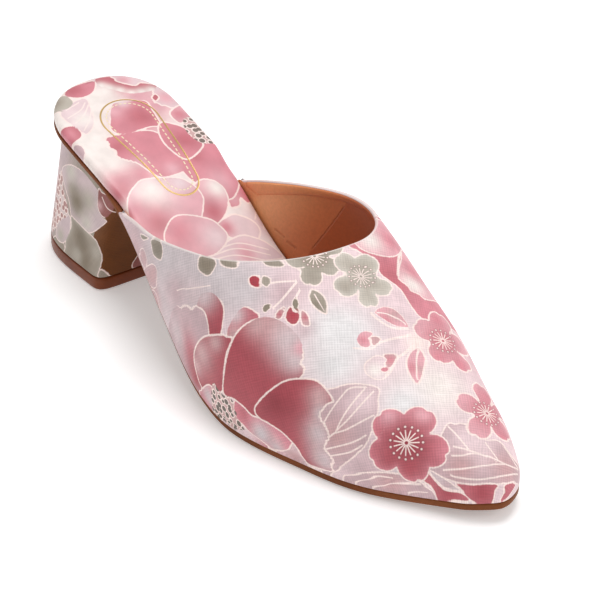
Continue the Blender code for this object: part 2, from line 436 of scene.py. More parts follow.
# %% Lay the vamp
VAMP_COLUMNS, OUTER_ROWS, FOLD_ROWS, INNER_ROWS = 600, 110, 8, 16
OUTER_SHARES = np.linspace(0, 1, OUTER_ROWS + 1) ** 2
INNER_SHARES = np.linspace(1, 0, INNER_ROWS + 1)[1:] ** 2
T_STEP, V_STEP, TOP_STEP = 0.0001, 0.002, 0.01


def vamp_normal(t, v):
    """Outward direction, and the direction along the wall towards the collar. At the very
    end of a wing, where the two edges meet, it takes them from one column further in."""
    t = np.clip(t, 1 / VAMP_COLUMNS, 1 - 1 / VAMP_COLUMNS)
    across = vamp_point(np.clip(t + T_STEP, 0, 1), v) - vamp_point(np.clip(t - T_STEP, 0, 1), v)
    rising = vamp_point(t, np.clip(v + V_STEP, 0, 1)) - vamp_point(t, np.clip(v - V_STEP, 0, 1))
    normal = np.cross(across, rising)
    normal /= np.linalg.norm(normal, axis=-1, keepdims=True)
    return normal, rising / np.linalg.norm(rising, axis=-1, keepdims=True)


def wall_length(t, v):
    """Millimetres up the wall for one unit of v, measured just below v."""
    return np.linalg.norm(vamp_point(t, v) - vamp_point(t, v - TOP_STEP), axis=-1) / TOP_STEP


def collar_end(t):
    """How far up the wall the outside runs before the half round of the fold."""
    return 1 - WALL / 2 / wall_length(t, np.ones_like(t))


def vamp_section(t):
    """Rows of the wall's closed section at each t: outside, fold, inside."""
    top = collar_end(t)
    outside = [vamp_point(t, top * share) for share in OUTER_SHARES]
    normal, rising = vamp_normal(t, top)
    middle = outside[-1] - normal * WALL / 2
    turns = np.linspace(0, np.pi, FOLD_ROWS + 1)[1:]
    fold = [middle + WALL / 2 * (np.cos(a) * normal + np.sin(a) * rising) for a in turns]
    inside = []
    for share in INNER_SHARES:
        normal, _ = vamp_normal(t, top * share)
        inside.append(vamp_point(t, top * share) - normal * WALL)
    return np.stack(outside + fold + inside + outside[:1], axis=1)


columns = np.linspace(0, 1, VAMP_COLUMNS + 1)
vamp_rows = vamp_section(columns)
row_number = np.arange(vamp_rows.shape[1], dtype=float)
print("vamp wall:", vamp_rows.shape[0], "columns of", vamp_rows.shape[1], "rows")

# %% [markdown]
# ## The vamp's pattern piece
# The print was on the cloth before the shoe was made, so it has to be laid out on
# the flat pattern piece. A coarse net over the vamp is pressed flat here: it starts
# from rough lengths and each thread then pulls or pushes until it has its true
# length again. Blender's unwrap could do it too, but this gives the same flat piece
# each time, in millimetres, with the toe at 0, 0 and the throat straight behind it.

# %% Press the vamp flat
NET_COLUMNS, NET_ROWS, GIRTH_POINTS = 64, 18, 41
PRESSES, PRESS_EASE = 2500, 0.9


def press_flat():
    net_t, net_v = np.linspace(0, 1, NET_COLUMNS + 1), np.linspace(0, 1, NET_ROWS + 1) ** 2
    t, v = np.meshgrid(net_t, net_v, indexing="ij")
    s, angle = upper_place(t, v)
    shares = np.linspace(0, 1, GIRTH_POINTS)
    round_arch = np.stack([upper_point(s, np.pi / 2 + (angle - np.pi / 2) * k) for k in shares])
    girth = np.linalg.norm(np.diff(round_arch, axis=0), axis=-1).sum(axis=0)
    flat = np.stack([s - FOOT_LENGTH, np.where(angle < np.pi / 2, -girth, girth)], -1).reshape(-1, 2)
    solid = upper_point(s, angle).reshape(-1, 3)
    number = np.arange(t.size).reshape(t.shape)
    threads = np.concatenate([
        np.stack([number[a:NET_COLUMNS + 1 - b, c:NET_ROWS + 1 - d].ravel(),
                  number[b:NET_COLUMNS + 1 - a, d:NET_ROWS + 1 - c].ravel()], 1)
        for a, b, c, d in ((0, 1, 0, 0), (0, 0, 0, 1), (0, 1, 0, 1))
    ] + [np.stack([number[:-1, 1:].ravel(), number[1:, :-1].ravel()], 1)])
    true = np.linalg.norm(solid[threads[:, 0]] - solid[threads[:, 1]], axis=1)
    ends = np.bincount(threads.ravel(), minlength=len(flat))
    for _ in range(PRESSES):
        pull = flat[threads[:, 1]] - flat[threads[:, 0]]
        now = np.linalg.norm(pull, axis=1)
        pull *= ((now - true) / np.maximum(now, 1e-6))[:, None]
        for axis in (0, 1):
            move = np.bincount(threads[:, 0], pull[:, axis], len(flat))
            move -= np.bincount(threads[:, 1], pull[:, axis], len(flat))
            flat[:, axis] += move / ends * PRESS_EASE
    now = np.linalg.norm(flat[threads[:, 1]] - flat[threads[:, 0]], axis=1)
    off = 100 * np.percentile(np.abs(now / true - 1), (50, 95))
    print("pressed flat; threads off by", np.round(off, 1), "%")
    flat = flat.reshape(*t.shape, 2)
    flat = flat - flat[NET_COLUMNS // 2, 0]
    back = flat[NET_COLUMNS // 2, -1]
    cos, sin = -back / np.linalg.norm(back)
    return net_t, net_v, flat @ np.array(((cos, -sin), (sin, cos)))


net_t, net_v, net_flat = press_flat()


def vamp_flat(t, v):
    """Flat place in millimetres of a whole grid, for rising columns t and rows v."""
    by_t = smooth(net_t, net_flat.reshape(len(net_t), -1), t).reshape(len(t), len(net_v), 2)
    by_v = smooth(net_v, by_t.transpose(1, 0, 2).reshape(len(net_v), -1), v)
    return by_v.reshape(len(v), len(t), 2).transpose(1, 0, 2)


row_share = np.concatenate([OUTER_SHARES, np.ones(FOLD_ROWS), INNER_SHARES, [0.0]])
cloth = np.zeros(vamp_rows.shape)
cloth[..., :2] = vamp_flat(columns, row_share)
cloth[..., 2] = np.where(row_number <= OUTER_ROWS, 0.0, row_number)
cloth[:, -1, 2] = 0
vamp_mesh = grid_mesh("vamp", vamp_rows, cloth)
print("pattern piece:", np.ptp(cloth[..., 0]).round(), "by", np.ptp(cloth[..., 1]).round(), "mm")

# %% [markdown]
# ## Slabs
# Insole and outsole are slabs with the plan of the sole. Each is a tube too: its
# section at a station runs along the underside, up one edge, back over the top and
# down the other edge. Close to the heel and the toe the sections shrink to nothing.

# %% Sections of a slab
SLAB_COLUMNS = 380
SLAB_STATIONS = FOOT_LENGTH * (1 + np.cos(np.linspace(0, np.pi, SLAB_COLUMNS + 1))) / 2


def slab(edge, inset, height, under_points, top_points, s=SLAB_STATIONS):
    """edge lists (inset, height) from the underside up; inset and height add to it by station s."""
    rims = {}
    for side in ("lateral", "medial"):
        rims[side] = []
        for row_inset, row_height in edge:
            inward = inset(s) + row_inset
            moved = s + inward * (1 - 2 * s / FOOT_LENGTH)
            y = edge_side(s, side, -inward)
            rims[side].append(np.stack([moved, y, height(moved, row_height)], 1))

    def crossing(start, end, points):
        return [start + (end - start) * x for x in np.linspace(0, 1, points + 2)[1:-1]]

    under = crossing(rims["medial"][0], rims["lateral"][0], under_points)
    top = crossing(rims["lateral"][-1], rims["medial"][-1], top_points)
    rows = under + rims["lateral"] + top + rims["medial"][::-1]
    return np.stack(rows + under[:1], axis=1)


print("slabs have", SLAB_COLUMNS, "sections")

# %% [markdown]
# ## Insole
# The insole is a thin foam pad under smooth printed cloth that is pulled round its
# edge. It is only 4 mm thick and glued down, so no cloth simulation is needed: a
# rounded edge and a slight crown across the seat give it its soft look.

# %% Pad the insole
INSOLE_STEP_START, INSOLE_STEP_END, INSOLE_SLACK = 48.0, 61.0, 0.3
INSOLE_EDGE = ((1.6, 0.0), (0.7, 0.05), (0.15, 0.45), (0.0, 1.1), (0.05, 1.7), (0.25, 2.3),
               (0.65, 2.8), (1.3, 3.2), (2.1, 3.45), (3.2, 3.6))
INSOLE_CROWN, CROWN_START = 0.9, 20.0
INSOLE_UNDER, INSOLE_TOP = 6, 84


def insole_inset(s):
    """The insole fills the seat, then steps in to lie inside the vamp."""
    t = np.clip((s - INSOLE_STEP_START) / (INSOLE_STEP_END - INSOLE_STEP_START), 0, 1)
    inside = WALL + CLEARANCE + INSOLE_SLACK - overhang(s)
    return inside * t * t * (3 - 2 * t)


insole_rows = slab(
    INSOLE_EDGE, insole_inset, lambda s, h: sole_top(s) + CLEARANCE + h, INSOLE_UNDER, INSOLE_TOP)
across = np.linspace(0, 1, INSOLE_TOP + 2)[1:-1]
first_top = INSOLE_UNDER + len(INSOLE_EDGE)
ahead = insole_rows[:, :1, 0]
seat = np.clip(ahead / CROWN_START, 0, 1) * np.clip((FOOT_LENGTH - ahead) / CROWN_START, 0, 1)
crown = INSOLE_CROWN * seat * (4 * across * (1 - across))
insole_rows[:, first_top:first_top + INSOLE_TOP, 2] += crown
insole_mesh = grid_mesh("insole_pad", insole_rows, insole_rows * (1, 1, 0))
print("insole crowned by", INSOLE_CROWN, "mm")

# %% [markdown]
# ## Heel
# A covered heel is a plastic block with cloth wrapped round it and closed at the
# breast, the flat front face. Its rings are worked out from the heel table, spaced
# evenly round, and the print is laid out by the distance from the middle of the back.

# %% Wrap the heel
HEEL_MIDDLE, BREAST_SQUARENESS, BACK_SQUARENESS = 0.7, 9.0, 2.8
TOP_PIECE_HEIGHT = 5.0
HEEL_COLUMNS, HEEL_ROWS, RING_POINTS = 300, 60, 4000
# Shares of the height, with how far the cloth has turned in there.
FOOT_TURN = ((0.0, 0.9), (0.002, 0.35), (0.01, 0.05))
HEEL_WALL = (0.02, 0.985)
TOP_TURN = ((0.995, 0.1), (1.0, 0.6))


def heel_ring(level, inset=0.0):
    """Plan of the heel from the middle of the breast by the medial side, evenly spaced."""
    row = {column: along(HEEL, column, np.array(level)) for column in HEEL.dtype.names[1:]}
    turn = np.linspace(0, 2 * np.pi, RING_POINTS)
    back, breast = row["back"] + inset, row["breast"] - inset
    middle = back + HEEL_MIDDLE * (breast - back)
    front = np.cos(turn) > 0
    power = 2 / np.where(front, BREAST_SQUARENESS, BACK_SQUARENESS)
    s = middle + np.where(front, breast - middle, back - middle) * np.abs(np.cos(turn)) ** power
    y = (row["half_width"] - inset) * np.sign(np.sin(turn)) * np.abs(np.sin(turn)) ** power
    run = np.concatenate([[0], np.hypot(np.diff(s), np.diff(y)).cumsum()])
    even = np.linspace(0, run[-1], HEEL_COLUMNS + 1)
    plan = np.stack([np.interp(even, run, s), np.interp(even, run, y)], 1)
    plan[-1] = plan[0]
    return plan, even - run[-1] / 2


def heel_height(s, level):
    foot = TOP_PIECE_HEIGHT + CLEARANCE
    return foot + level * (underside(s) - CLEARANCE - foot)


def heel_wrap(levels):
    """levels are (share of the height, inset); returns points and flat places."""
    points, flat = [], []
    for level, inset in levels:
        plan, run = heel_ring(level, inset)
        z = heel_height(plan[:, 0], level)
        points.append(np.column_stack([plan, z]))
        flat.append(np.column_stack([run, z, 0 * z]))
    return np.stack(points, 1), np.stack(flat, 1)


heel_wall = [(level, 0.0) for level in np.linspace(*HEEL_WALL, HEEL_ROWS)]
heel_rows, heel_cloth = heel_wrap([*FOOT_TURN, *heel_wall, *TOP_TURN])
heel_mesh = grid_mesh("heel_cover", heel_rows, heel_cloth)
print("heel is", np.ptp(heel_cloth[..., 0]).round(), "mm round at its widest")

# %% [markdown]
# ## Sole and wearing piece
# The outsole is a thin brown sheet with a trimmed edge. Its tread has fine cross
# grooves. Bump could draw them, but they are cut into the mesh, so that they are there
# from below as well: each groove has four stations of its own, two lips and a flat
# bottom. The wearing piece follows the heel's foot, with its lower edge rounded.

# %% Cut the outsole
OUTSOLE_EDGE = ((1.4, 0.0), (0.6, 0.03), (0.2, 0.14), (0.0, 0.3), (0.0, 0.8), (0.1, 0.93), (0.35, 1.0))
OUTSOLE_UNDER, OUTSOLE_TOP = 48, 4
TREAD_FROM, TREAD_TO, TREAD_MARGIN = 128.0, 226.0, 5.0
GROOVE_PITCH, GROOVE_DEPTH, GROOVE_FADE = 4.0, 0.45, 3.0
GROOVE_SECTION = ((-0.65, 0), (-0.35, 1), (0.35, 1), (0.65, 0))
GROOVE_ROOM = 0.5

grooves = np.arange(TREAD_FROM, TREAD_TO, GROOVE_PITCH)
lips = np.add.outer(grooves, [place for place, _ in GROOVE_SECTION]).ravel()
behind, ahead = SLAB_STATIONS < lips.min() - GROOVE_ROOM, SLAB_STATIONS > lips.max() + GROOVE_ROOM
plain = SLAB_STATIONS[behind | ahead]
stations = np.concatenate([plain, lips])
cut = np.concatenate([0 * plain, np.tile([depth for _, depth in GROOVE_SECTION], len(grooves))])
order = np.argsort(-stations)
outsole_rows = slab(
    OUTSOLE_EDGE, lambda s: 0 * s, lambda s, h: underside(s) + h * sole_thickness(s),
    OUTSOLE_UNDER, OUTSOLE_TOP, stations[order])
tread = outsole_rows[:, :OUTSOLE_UNDER]
s, y = tread[..., 0], tread[..., 1]
to_side = np.minimum(edge_side(s, "medial", 0.0) - y, y - edge_side(s, "lateral", 0.0))
inner = np.clip((to_side - TREAD_MARGIN) / GROOVE_FADE, 0, 1)
tread[..., 2] += GROOVE_DEPTH * inner * cut[order][:, None]
outsole_rows[:, -1] = outsole_rows[:, 0]
outsole_mesh = grid_mesh("outsole_sheet", outsole_rows)
print(len(grooves), "tread grooves every", GROOVE_PITCH, "mm")

# %% Turn the wearing piece
TOP_PIECE_EDGE = (
    (0.0, 2.0), (0.0, 0.9), (0.12, 0.45), (0.4, 0.15), (0.9, 0.0), (2.5, 0.0), (4.5, 0.0), (5.0, 0.3))
top_piece_rows = []
for height, inset in TOP_PIECE_EDGE:
    plan, _ = heel_ring(0.0, inset)
    top_piece_rows.append(np.column_stack([plan, np.full(len(plan), height)]))
top_piece_mesh = grid_mesh("wearing_piece", np.stack(top_piece_rows, 1))
print("wearing piece", TOP_PIECE_HEIGHT, "mm thick")

# %% [markdown]
# ## Facing
# Inside the collar a narrow strip of lining, the facing, covers where the cloth is
# folded in. It is a flat strip with a soft lower edge, glued to the lining, so it is
# one more tube: its section is a few points given by depth below the collar and by
# how far they stand off the lining. Where the wings run low the strip narrows with them.

# %% Glue in the facing
FACING = ((0.2, -0.3), (0.2, 0.25), (0.7, 0.5), (3.6, 0.5), (4.5, 0.42), (4.9, 0.2), (5.0, -0.3))
FACING_COLUMNS, FACING_FULL, WING_TIP = 240, 12.0, 0.012
t = np.linspace(WING_TIP, 1 - WING_TIP, FACING_COLUMNS + 1)
top = collar_end(t)
length = wall_length(t, top)
taper = np.clip(top * length / FACING_FULL, 0, 1)
facing_rows = []
for depth, stand in FACING:
    level = top - depth * taper / length
    normal, _ = vamp_normal(t, level)
    facing_rows.append(vamp_point(t, level) - normal * (WALL + stand * taper)[:, None])
facing_rows = np.stack(facing_rows + facing_rows[:1], axis=1)
facing_mesh = grid_mesh("collar_facing", facing_rows)
print("facing is", FACING[-1][0] - FACING[0][0], "mm deep")

# %% [markdown]
# ## The print
# The cloth carries flowers drawn with an ivory line and filled in soft rose, pink and
# grey. A painted picture of it would be one way; here every motif is charted in
# millimetres on the flat pattern piece. A motif is a closed curve. For each corner of the
# mesh near it, the chart keeps how far the corner lies from the curve and which dye it
# has there; the material then draws a crisp line where that distance is nought. Motifs
# that overlap are put on layers, the higher ones on top.

# %% Dyes
DYES = {
    "ivory": (252, 232, 226), "white": (229, 226, 227), "cream": (244, 234, 229),
    "shell": (231, 206, 210), "blush": (226, 168, 177), "pink": (214, 134, 146),
    "old_rose": (194, 106, 117), "rose": (174, 74, 85), "wine": (150, 50, 62),
    "crimson": (178, 42, 60), "mauve": (203, 174, 179), "mist": (212, 192, 195),
    "lilac": (207, 197, 200), "dusk": (199, 182, 185), "clay": (204, 162, 164),
    "russet": (150, 94, 90), "oat": (208, 201, 191), "stone": (190, 182, 170),
    # The last dye, for the heel's breast, is brown darkened with painted shade from under the arch.
    "taupe": (164, 153, 140), "slate": (136, 124, 108), "brown_with_painted_shade": (110, 62, 22),
}


def dye(name):
    return np.array(linear(*DYES[name])[:3])


print(len(DYES), "dyes")

# %% Curves and distances
SPAN_POINTS, TINY = 8, 1e-9
TOOTH_EVERY, TOOTH_BACK, TOOTH_SIZES = 3, -0.5, (0.4, 1.2)


def curve(points, closed=True):
    """A smooth line through the points."""
    p = np.array(points, float)
    ends = [p[-1:], p, p[:2]] if closed else [2 * p[:1] - p[1:2], p, 2 * p[-1:] - p[-2:-1]]
    ring = np.concatenate(ends)
    t = np.linspace(0, 1, SPAN_POINTS, endpoint=False)[:, None]
    spans = []
    for a, b, c, d in zip(ring, ring[1:], ring[2:], ring[3:]):
        bend = (2 * a - 5 * b + 4 * c - d) * t ** 2 + (3 * b - a - 3 * c + d) * t ** 3
        spans.append((2 * b + (c - a) * t + bend) / 2)
    return np.concatenate(spans + [p[:1] if closed else p[-1:]])


def to_line(line, place):
    """For each place: distance to a line of short pieces, how far along it that is, on which
    side of it, and whether the line closes round the place."""
    start, step = line[:-1], np.diff(line, axis=0)
    away = place[:, None] - start[None]
    share = np.clip((away * step).sum(-1) / np.maximum((step ** 2).sum(-1), TINY), 0, 1)
    gap = np.linalg.norm(away - share[..., None] * step, axis=-1)
    nearest = gap.argmin(axis=1)
    pick = np.arange(len(place))
    run = (nearest + share[pick, nearest]) / len(step)
    above = line[None, :, 1] > place[:, None, 1]
    safe = np.where(np.abs(step[:, 1]) < TINY, TINY, step[:, 1])
    crossing = (above[:, :-1] != above[:, 1:]) & (away[..., 0] < step[:, 0] * away[..., 1] / safe)
    hand = step[nearest, 0] * away[pick, nearest, 1] - step[nearest, 1] * away[pick, nearest, 0]
    return gap[pick, nearest], run, np.sign(hand), crossing.sum(axis=1) % 2 == 1


def toothed(line, size, share, random):
    """The line with ragged teeth where share is 1."""
    way = np.gradient(line, axis=0)
    out = np.stack([way[:, 1], -way[:, 0]], 1)
    out /= np.maximum(np.linalg.norm(out, axis=1, keepdims=True), TINY)
    jag = np.where(np.arange(len(line)) % TOOTH_EVERY == 0, 1, TOOTH_BACK)
    jag *= random.uniform(*TOOTH_SIZES, len(line))
    jag[-1] = jag[0]
    return line + out * (size * jag * share)[:, None]


print("curves have", SPAN_POINTS, "steps from point to point")

# %% The chart
LAYERS, PENS, TOOTH_SEED = 6, 3, 5
REACH, PEN_REACH, FAR = 3.5, 3.2, 6.0
PEN, NO_LINE, NO_HEART = 0.28, -0.6, 9.0


class Chart:
    """A print laid over the corners of one mesh."""

    def __init__(self, mesh, ground):
        self.mesh = mesh
        self.place = flat_cloth(mesh)[:, :2].astype(float)
        size = len(self.place)
        self.ground = np.tile(dye(ground), (size, 1))
        self.tint = np.tile(dye(ground), (LAYERS, size, 1))
        self.line = np.tile((FAR, NO_LINE, 0.0), (LAYERS, size, 1))
        self.stroke = np.zeros((PENS, size, 3))
        self.heart = np.full((size, 3), NO_HEART)
        self.seeds = np.full(size, FAR)
        self.random = np.random.default_rng(TOOTH_SEED)
        self.lay_at()

    def lay_at(self, turn=0.0, shift=(0, 0)):
        """Where the next motifs go: turned by degrees and moved."""
        self.turn, self.shift = math.radians(turn), np.array(shift, float)

    def moved(self, points):
        cos, sin = math.cos(self.turn), math.sin(self.turn)
        return np.array(points, float).reshape(-1, 2) @ np.array(((cos, sin), (-sin, cos))) + self.shift

    def near(self, line, reach):
        low, high = line.min(axis=0) - reach, line.max(axis=0) + reach
        return np.flatnonzero(((self.place > low) & (self.place < high)).all(axis=1))

    def wash(self, base, spots, where=slice(None)):
        """Soft spots of dye (u, v, radius, name) over a base colour."""
        for u, v, radius, name in spots:
            gap = np.linalg.norm(self.place[where] - self.moved((u, v)), axis=1)
            share = np.exp(-(gap / radius) ** 2)[:, None]
            base = base * (1 - share) + dye(name) * share
        return base

    def wash_ground(self, *spots):
        self.ground = self.wash(self.ground, spots)

    def shape(self, layer, points, name, *spots, pen=PEN, rim=None, teeth=None, faint=(), drawn=False):
        """A filled motif. rim is (width, dye), teeth is (size, (u, v, radius), ...), faint places
        (u, v, radius) have no line, and points that are drawn are used as they are."""
        line = self.moved(points if drawn else curve(points))
        if teeth:
            size, *places = teeth
            share = np.zeros(len(line))
            for u, v, radius in places:
                share = np.maximum(share, np.linalg.norm(line - self.moved((u, v)), axis=1) < radius)
            line = toothed(line, size, share, self.random)
        where = self.near(line, REACH)
        if not len(where):
            return
        gap, _, _, inside = to_line(line, self.place[where])
        gap = np.where(inside, -gap, gap)
        tint = self.wash(np.tile(dye(name), (len(where), 1)), spots, where)
        if rim:
            width, rim_name = rim
            share = np.exp(np.minimum(gap, 0) / width)[:, None]
            tint = tint * (1 - share) + dye(rim_name) * share
        width = np.full(len(where), pen)
        for u, v, radius in faint:
            off = np.linalg.norm(self.place[where] - self.moved((u, v)), axis=1)
            share = np.exp(-(off / radius) ** 4)
            width = width * (1 - share) + NO_LINE * share
        win = gap < self.line[layer, where, 0]
        self.line[layer, where[win]] = np.stack([gap, width, 0 * gap], 1)[win]
        self.tint[layer, where[win]] = tint[win]

    def pen_line(self, points, width, end_width=None):
        """A drawn line, for stems and veins. Each goes to the pen that has drawn least near it."""
        line = self.moved(curve(points, closed=False))
        where = self.near(line, PEN_REACH)
        if not len(where):
            return
        gap, run, hand, _ = to_line(line, self.place[where])
        width = width + ((end_width or width) - width) * run
        by_it = (gap < PEN_REACH) & (run > 0) & (run < 1)
        pen = min(self.stroke, key=lambda pen: (pen[where[by_it], 1] > 0).sum())
        win = by_it & ((pen[where, 1] == 0) | (gap < np.abs(pen[where, 0])))
        pen[where[win]] = np.stack([gap * hand, 1 - gap / PEN_REACH, width], 1)[win]

    def seed_head(self, points):
        line = self.moved(curve(points))
        where = self.near(line, REACH)
        if len(where):
            gap, _, _, inside = to_line(line, self.place[where])
            self.seeds[where] = np.minimum(self.seeds[where], np.where(inside, -gap, gap))

    def press(self):
        """Keeps the print on the mesh for the material to read."""
        def keep_dye(key, values):
            colours = np.concatenate([values, np.ones((len(values), 1))], 1)
            keep(self.mesh, key, colours, "FLOAT_COLOR", "color")

        keep_dye("ground", self.ground)
        for layer in range(LAYERS):
            keep_dye(f"tint_{layer}", self.tint[layer])
            keep(self.mesh, f"line_{layer}", self.line[layer])
        for pen in range(PENS):
            keep(self.mesh, f"pen_{pen}", self.stroke[pen])
        keep(self.mesh, "heart", self.heart)
        keep(self.mesh, "seeds", self.seeds, "FLOAT", "value")
        print("print laid on", len(self.place), "corners of", self.mesh.name)


print("a chart has", LAYERS, "layers and", PENS, "pens")

# %% Leaves and flowers by formula
LEAF_POINTS, LEAF_LEAN, LEAF_FULLNESS, LEAF_RIB = 8, 0.85, 0.8, 0.25
FLOWER_POINTS, NOTCH, NICK, NICK_TURN = 180, 0.45, 0.06, 0.07
HEART_SIZE, HEART_REACH = 0.88, 0.75
BLOSSOM_PETALS, PETAL_HALF, HEART_WASH, TIP_WASH, BLOSSOM_PEN = 5, 0.38, 0.5, 0.16, 0.26


def leaf(chart, layer, start, end, width, name, *spots, **how):
    """A pointed leaf with a rib."""
    start, way = np.array(start, float), np.subtract(end, start)
    side = np.array((-way[1], way[0])) / np.linalg.norm(way)
    t = np.linspace(0, 1, LEAF_POINTS)
    half = side * (width / 2 * np.sin(np.pi * t ** LEAF_LEAN) ** LEAF_FULLNESS)[:, None]
    middle = start + way * t[:, None]
    chart.shape(layer, np.concatenate([middle + half, (middle - half)[-2:0:-1]]), name, *spots, **how)
    chart.pen_line(middle[1:-1], LEAF_RIB, LEAF_RIB / 2)


def flower(chart, layer, u, v, petals, name, *spots, **how):
    """A flower of round petals (turn in degrees, reach, half width) with a heart of rays."""
    a = np.linspace(-np.pi, np.pi, FLOWER_POINTS + 1)
    size = np.mean([reach for _, reach, _ in petals])
    r = np.full(len(a), NOTCH * size)
    for turn, reach, half in petals:
        off = (a - math.radians(turn) + np.pi) % (2 * np.pi) - np.pi
        side = (reach - half) * np.sin(off)
        lobe = (reach - half) * np.cos(off) + np.sqrt(np.maximum(half ** 2 - side ** 2, 0))
        lobe -= NICK * reach * np.exp(-(off / NICK_TURN) ** 2)
        r = np.where((np.abs(side) < half) & (np.cos(off) > 0), np.maximum(r, lobe), r)
    ring = np.stack([u + r * np.cos(a), v + r * np.sin(a)], 1)
    chart.shape(layer, ring, name, *spots, drawn=True, **how)
    radius = HEART_SIZE * size
    away = chart.place - chart.moved((u, v))
    where = np.flatnonzero(np.linalg.norm(away, axis=1) < radius * HEART_REACH)
    chart.heart[where] = np.column_stack([away[where] / radius, 0 * where])


def blossom(chart, layer, u, v, reach, turn, name, heart, tip):
    """A flower of equal petals; its dye goes from heart to name to a paler tip."""
    turns = [turn + k * 360 / BLOSSOM_PETALS for k in range(BLOSSOM_PETALS)]
    petals = [(turn, reach, PETAL_HALF * reach) for turn in turns]
    flower(chart, layer, u, v, petals, name, (u, v, HEART_WASH * reach, heart),
           rim=(TIP_WASH * reach, tip), pen=BLOSSOM_PEN)


print("a blossom has", BLOSSOM_PETALS, "petals")

# %% [markdown]
# ## Print on the vamp
# On the flat pattern piece the toe is at 0, 0 and the throat lies behind it; minus v is
# the lateral wing. A big peony covers the lateral side, blossoms and buds hang from
# the throat, and veined leaves fill the toe. The peony comes again, turned, on the
# medial wing.

# %% Chart the peony
def peony(chart):
    """Petals from the lowest layer up."""
    chart.shape(
        0, [(-115.5, -53.5), (-111, -53), (-107, -55), (-102.5, -59.5), (-105, -63), (-110, -64),
            (-116.5, -63), (-119.5, -59), (-118.5, -55.5)],
        "rose", (-118.6, -57.5, 6, "mist"), faint=[(-118.5, -57, 5)])
    chart.shape(
        1, [(-126.5, -75.5), (-123.5, -72), (-122.5, -69), (-120.5, -66.5), (-118.5, -65.5),
            (-118, -63), (-113, -60.5), (-105, -64), (-100.5, -72), (-98.5, -84), (-99, -94.5),
            (-124, -96), (-127.5, -85.5)],
        "mauve", (-109, -80.1, 8, "old_rose"), (-102.3, -85.6, 7, "rose"), (-120.7, -84.4, 6, "mist"),
        (-112.2, -63.8, 4, "mauve"), teeth=(0.45, (-121, -67.1, 6)), faint=[(-127.1, -84.8, 10)])
    chart.shape(
        1, [(-101.5, -44.5), (-99.5, -44.5), (-98.5, -50), (-97, -57), (-100, -57.5), (-103, -55),
            (-106, -47.5)],
        "old_rose", (-104.9, -51.1, 3.5, "mist"), (-99.7, -54.8, 3, "clay"),
        faint=[(-104.7, -52.5, 4.5)])
    chart.shape(
        2, [(-98.5, -56), (-100.5, -57.5), (-102.5, -59), (-107, -67), (-107, -78), (-101.5, -84.5),
            (-97.5, -85.5), (-93.5, -83), (-88.5, -73.5), (-92, -66.5), (-96, -60.5)],
        "rose", (-103.5, -71.9, 6, "clay"), (-101.8, -62.6, 3.5, "clay"), (-104, -79.9, 4, "clay"),
        pen=0.36)
    chart.shape(
        2, [(-82.5, -70.5), (-77.5, -67), (-67.5, -63), (-58, -61), (-57.5, -69), (-59.5, -72),
            (-62, -74), (-69.5, -75.5), (-74.5, -76), (-79.5, -76.5)],
        "pink", (-68, -71.5, 5, "lilac"), (-60.5, -70.5, 4, "mist"), (-77.5, -71.7, 4, "old_rose"))
    chart.shape(
        3, [(-98, -91.5), (-97, -83.5), (-94, -78), (-88.5, -78.5), (-86.5, -93)],
        "pink", (-93, -84.3, 5, "mist"))
    chart.shape(
        3, [(-87.5, -73.5), (-91.5, -67), (-98.5, -55.5), (-100, -50), (-99.5, -45), (-97.5, -41.5),
            (-93.5, -38.5), (-85.5, -36.5), (-78.5, -38.5), (-77, -40.5), (-74, -40.5), (-71.5, -46),
            (-69, -61), (-73.5, -68), (-78.5, -69), (-83, -70.5)],
        "rose", (-93, -39, 7, "clay"), (-86.5, -39.5, 7.5, "mist"), (-79, -41, 5.5, "mist"),
        (-81.5, -37.8, 2.6, "blush"), (-97.5, -46, 5, "clay"), pen=0.34, teeth=(0.35, (-78, -39, 6)),
        faint=[(-95, -40, 7), (-87, -36.8, 5.5)])
    chart.shape(
        4, [(-74.5, -66), (-75.5, -62), (-75, -49.5), (-72, -43), (-67.5, -38.5), (-59, -37.5),
            (-59, -40), (-57.5, -44.5), (-53, -45), (-49.5, -46.5), (-48, -51), (-46, -51),
            (-42.5, -51.5), (-42, -54), (-39.5, -55.5), (-43.5, -60.5), (-48, -64), (-51.5, -63),
            (-55, -62), (-62, -62.5), (-68.5, -65), (-71.5, -66.5)],
        "rose", (-70, -57, 7, "wine"), (-63, -40.5, 5, "clay"), (-52.6, -49, 6, "mist"),
        (-45, -54.5, 6.5, "mist"), (-57.5, -43.5, 3.5, "mist"), pen=0.34,
        teeth=(0.4, (-51.6, -46.1, 8), (-43, -53, 5)))
    chart.seed_head([
        (-93, -75), (-90.5, -75), (-87, -74), (-85, -72), (-82.5, -72), (-81.5, -74), (-79.5, -74.5),
        (-79, -76), (-76, -76.5), (-74, -78), (-77, -83), (-83, -86), (-88.5, -90), (-93, -79)])


print("peony ready to lay")

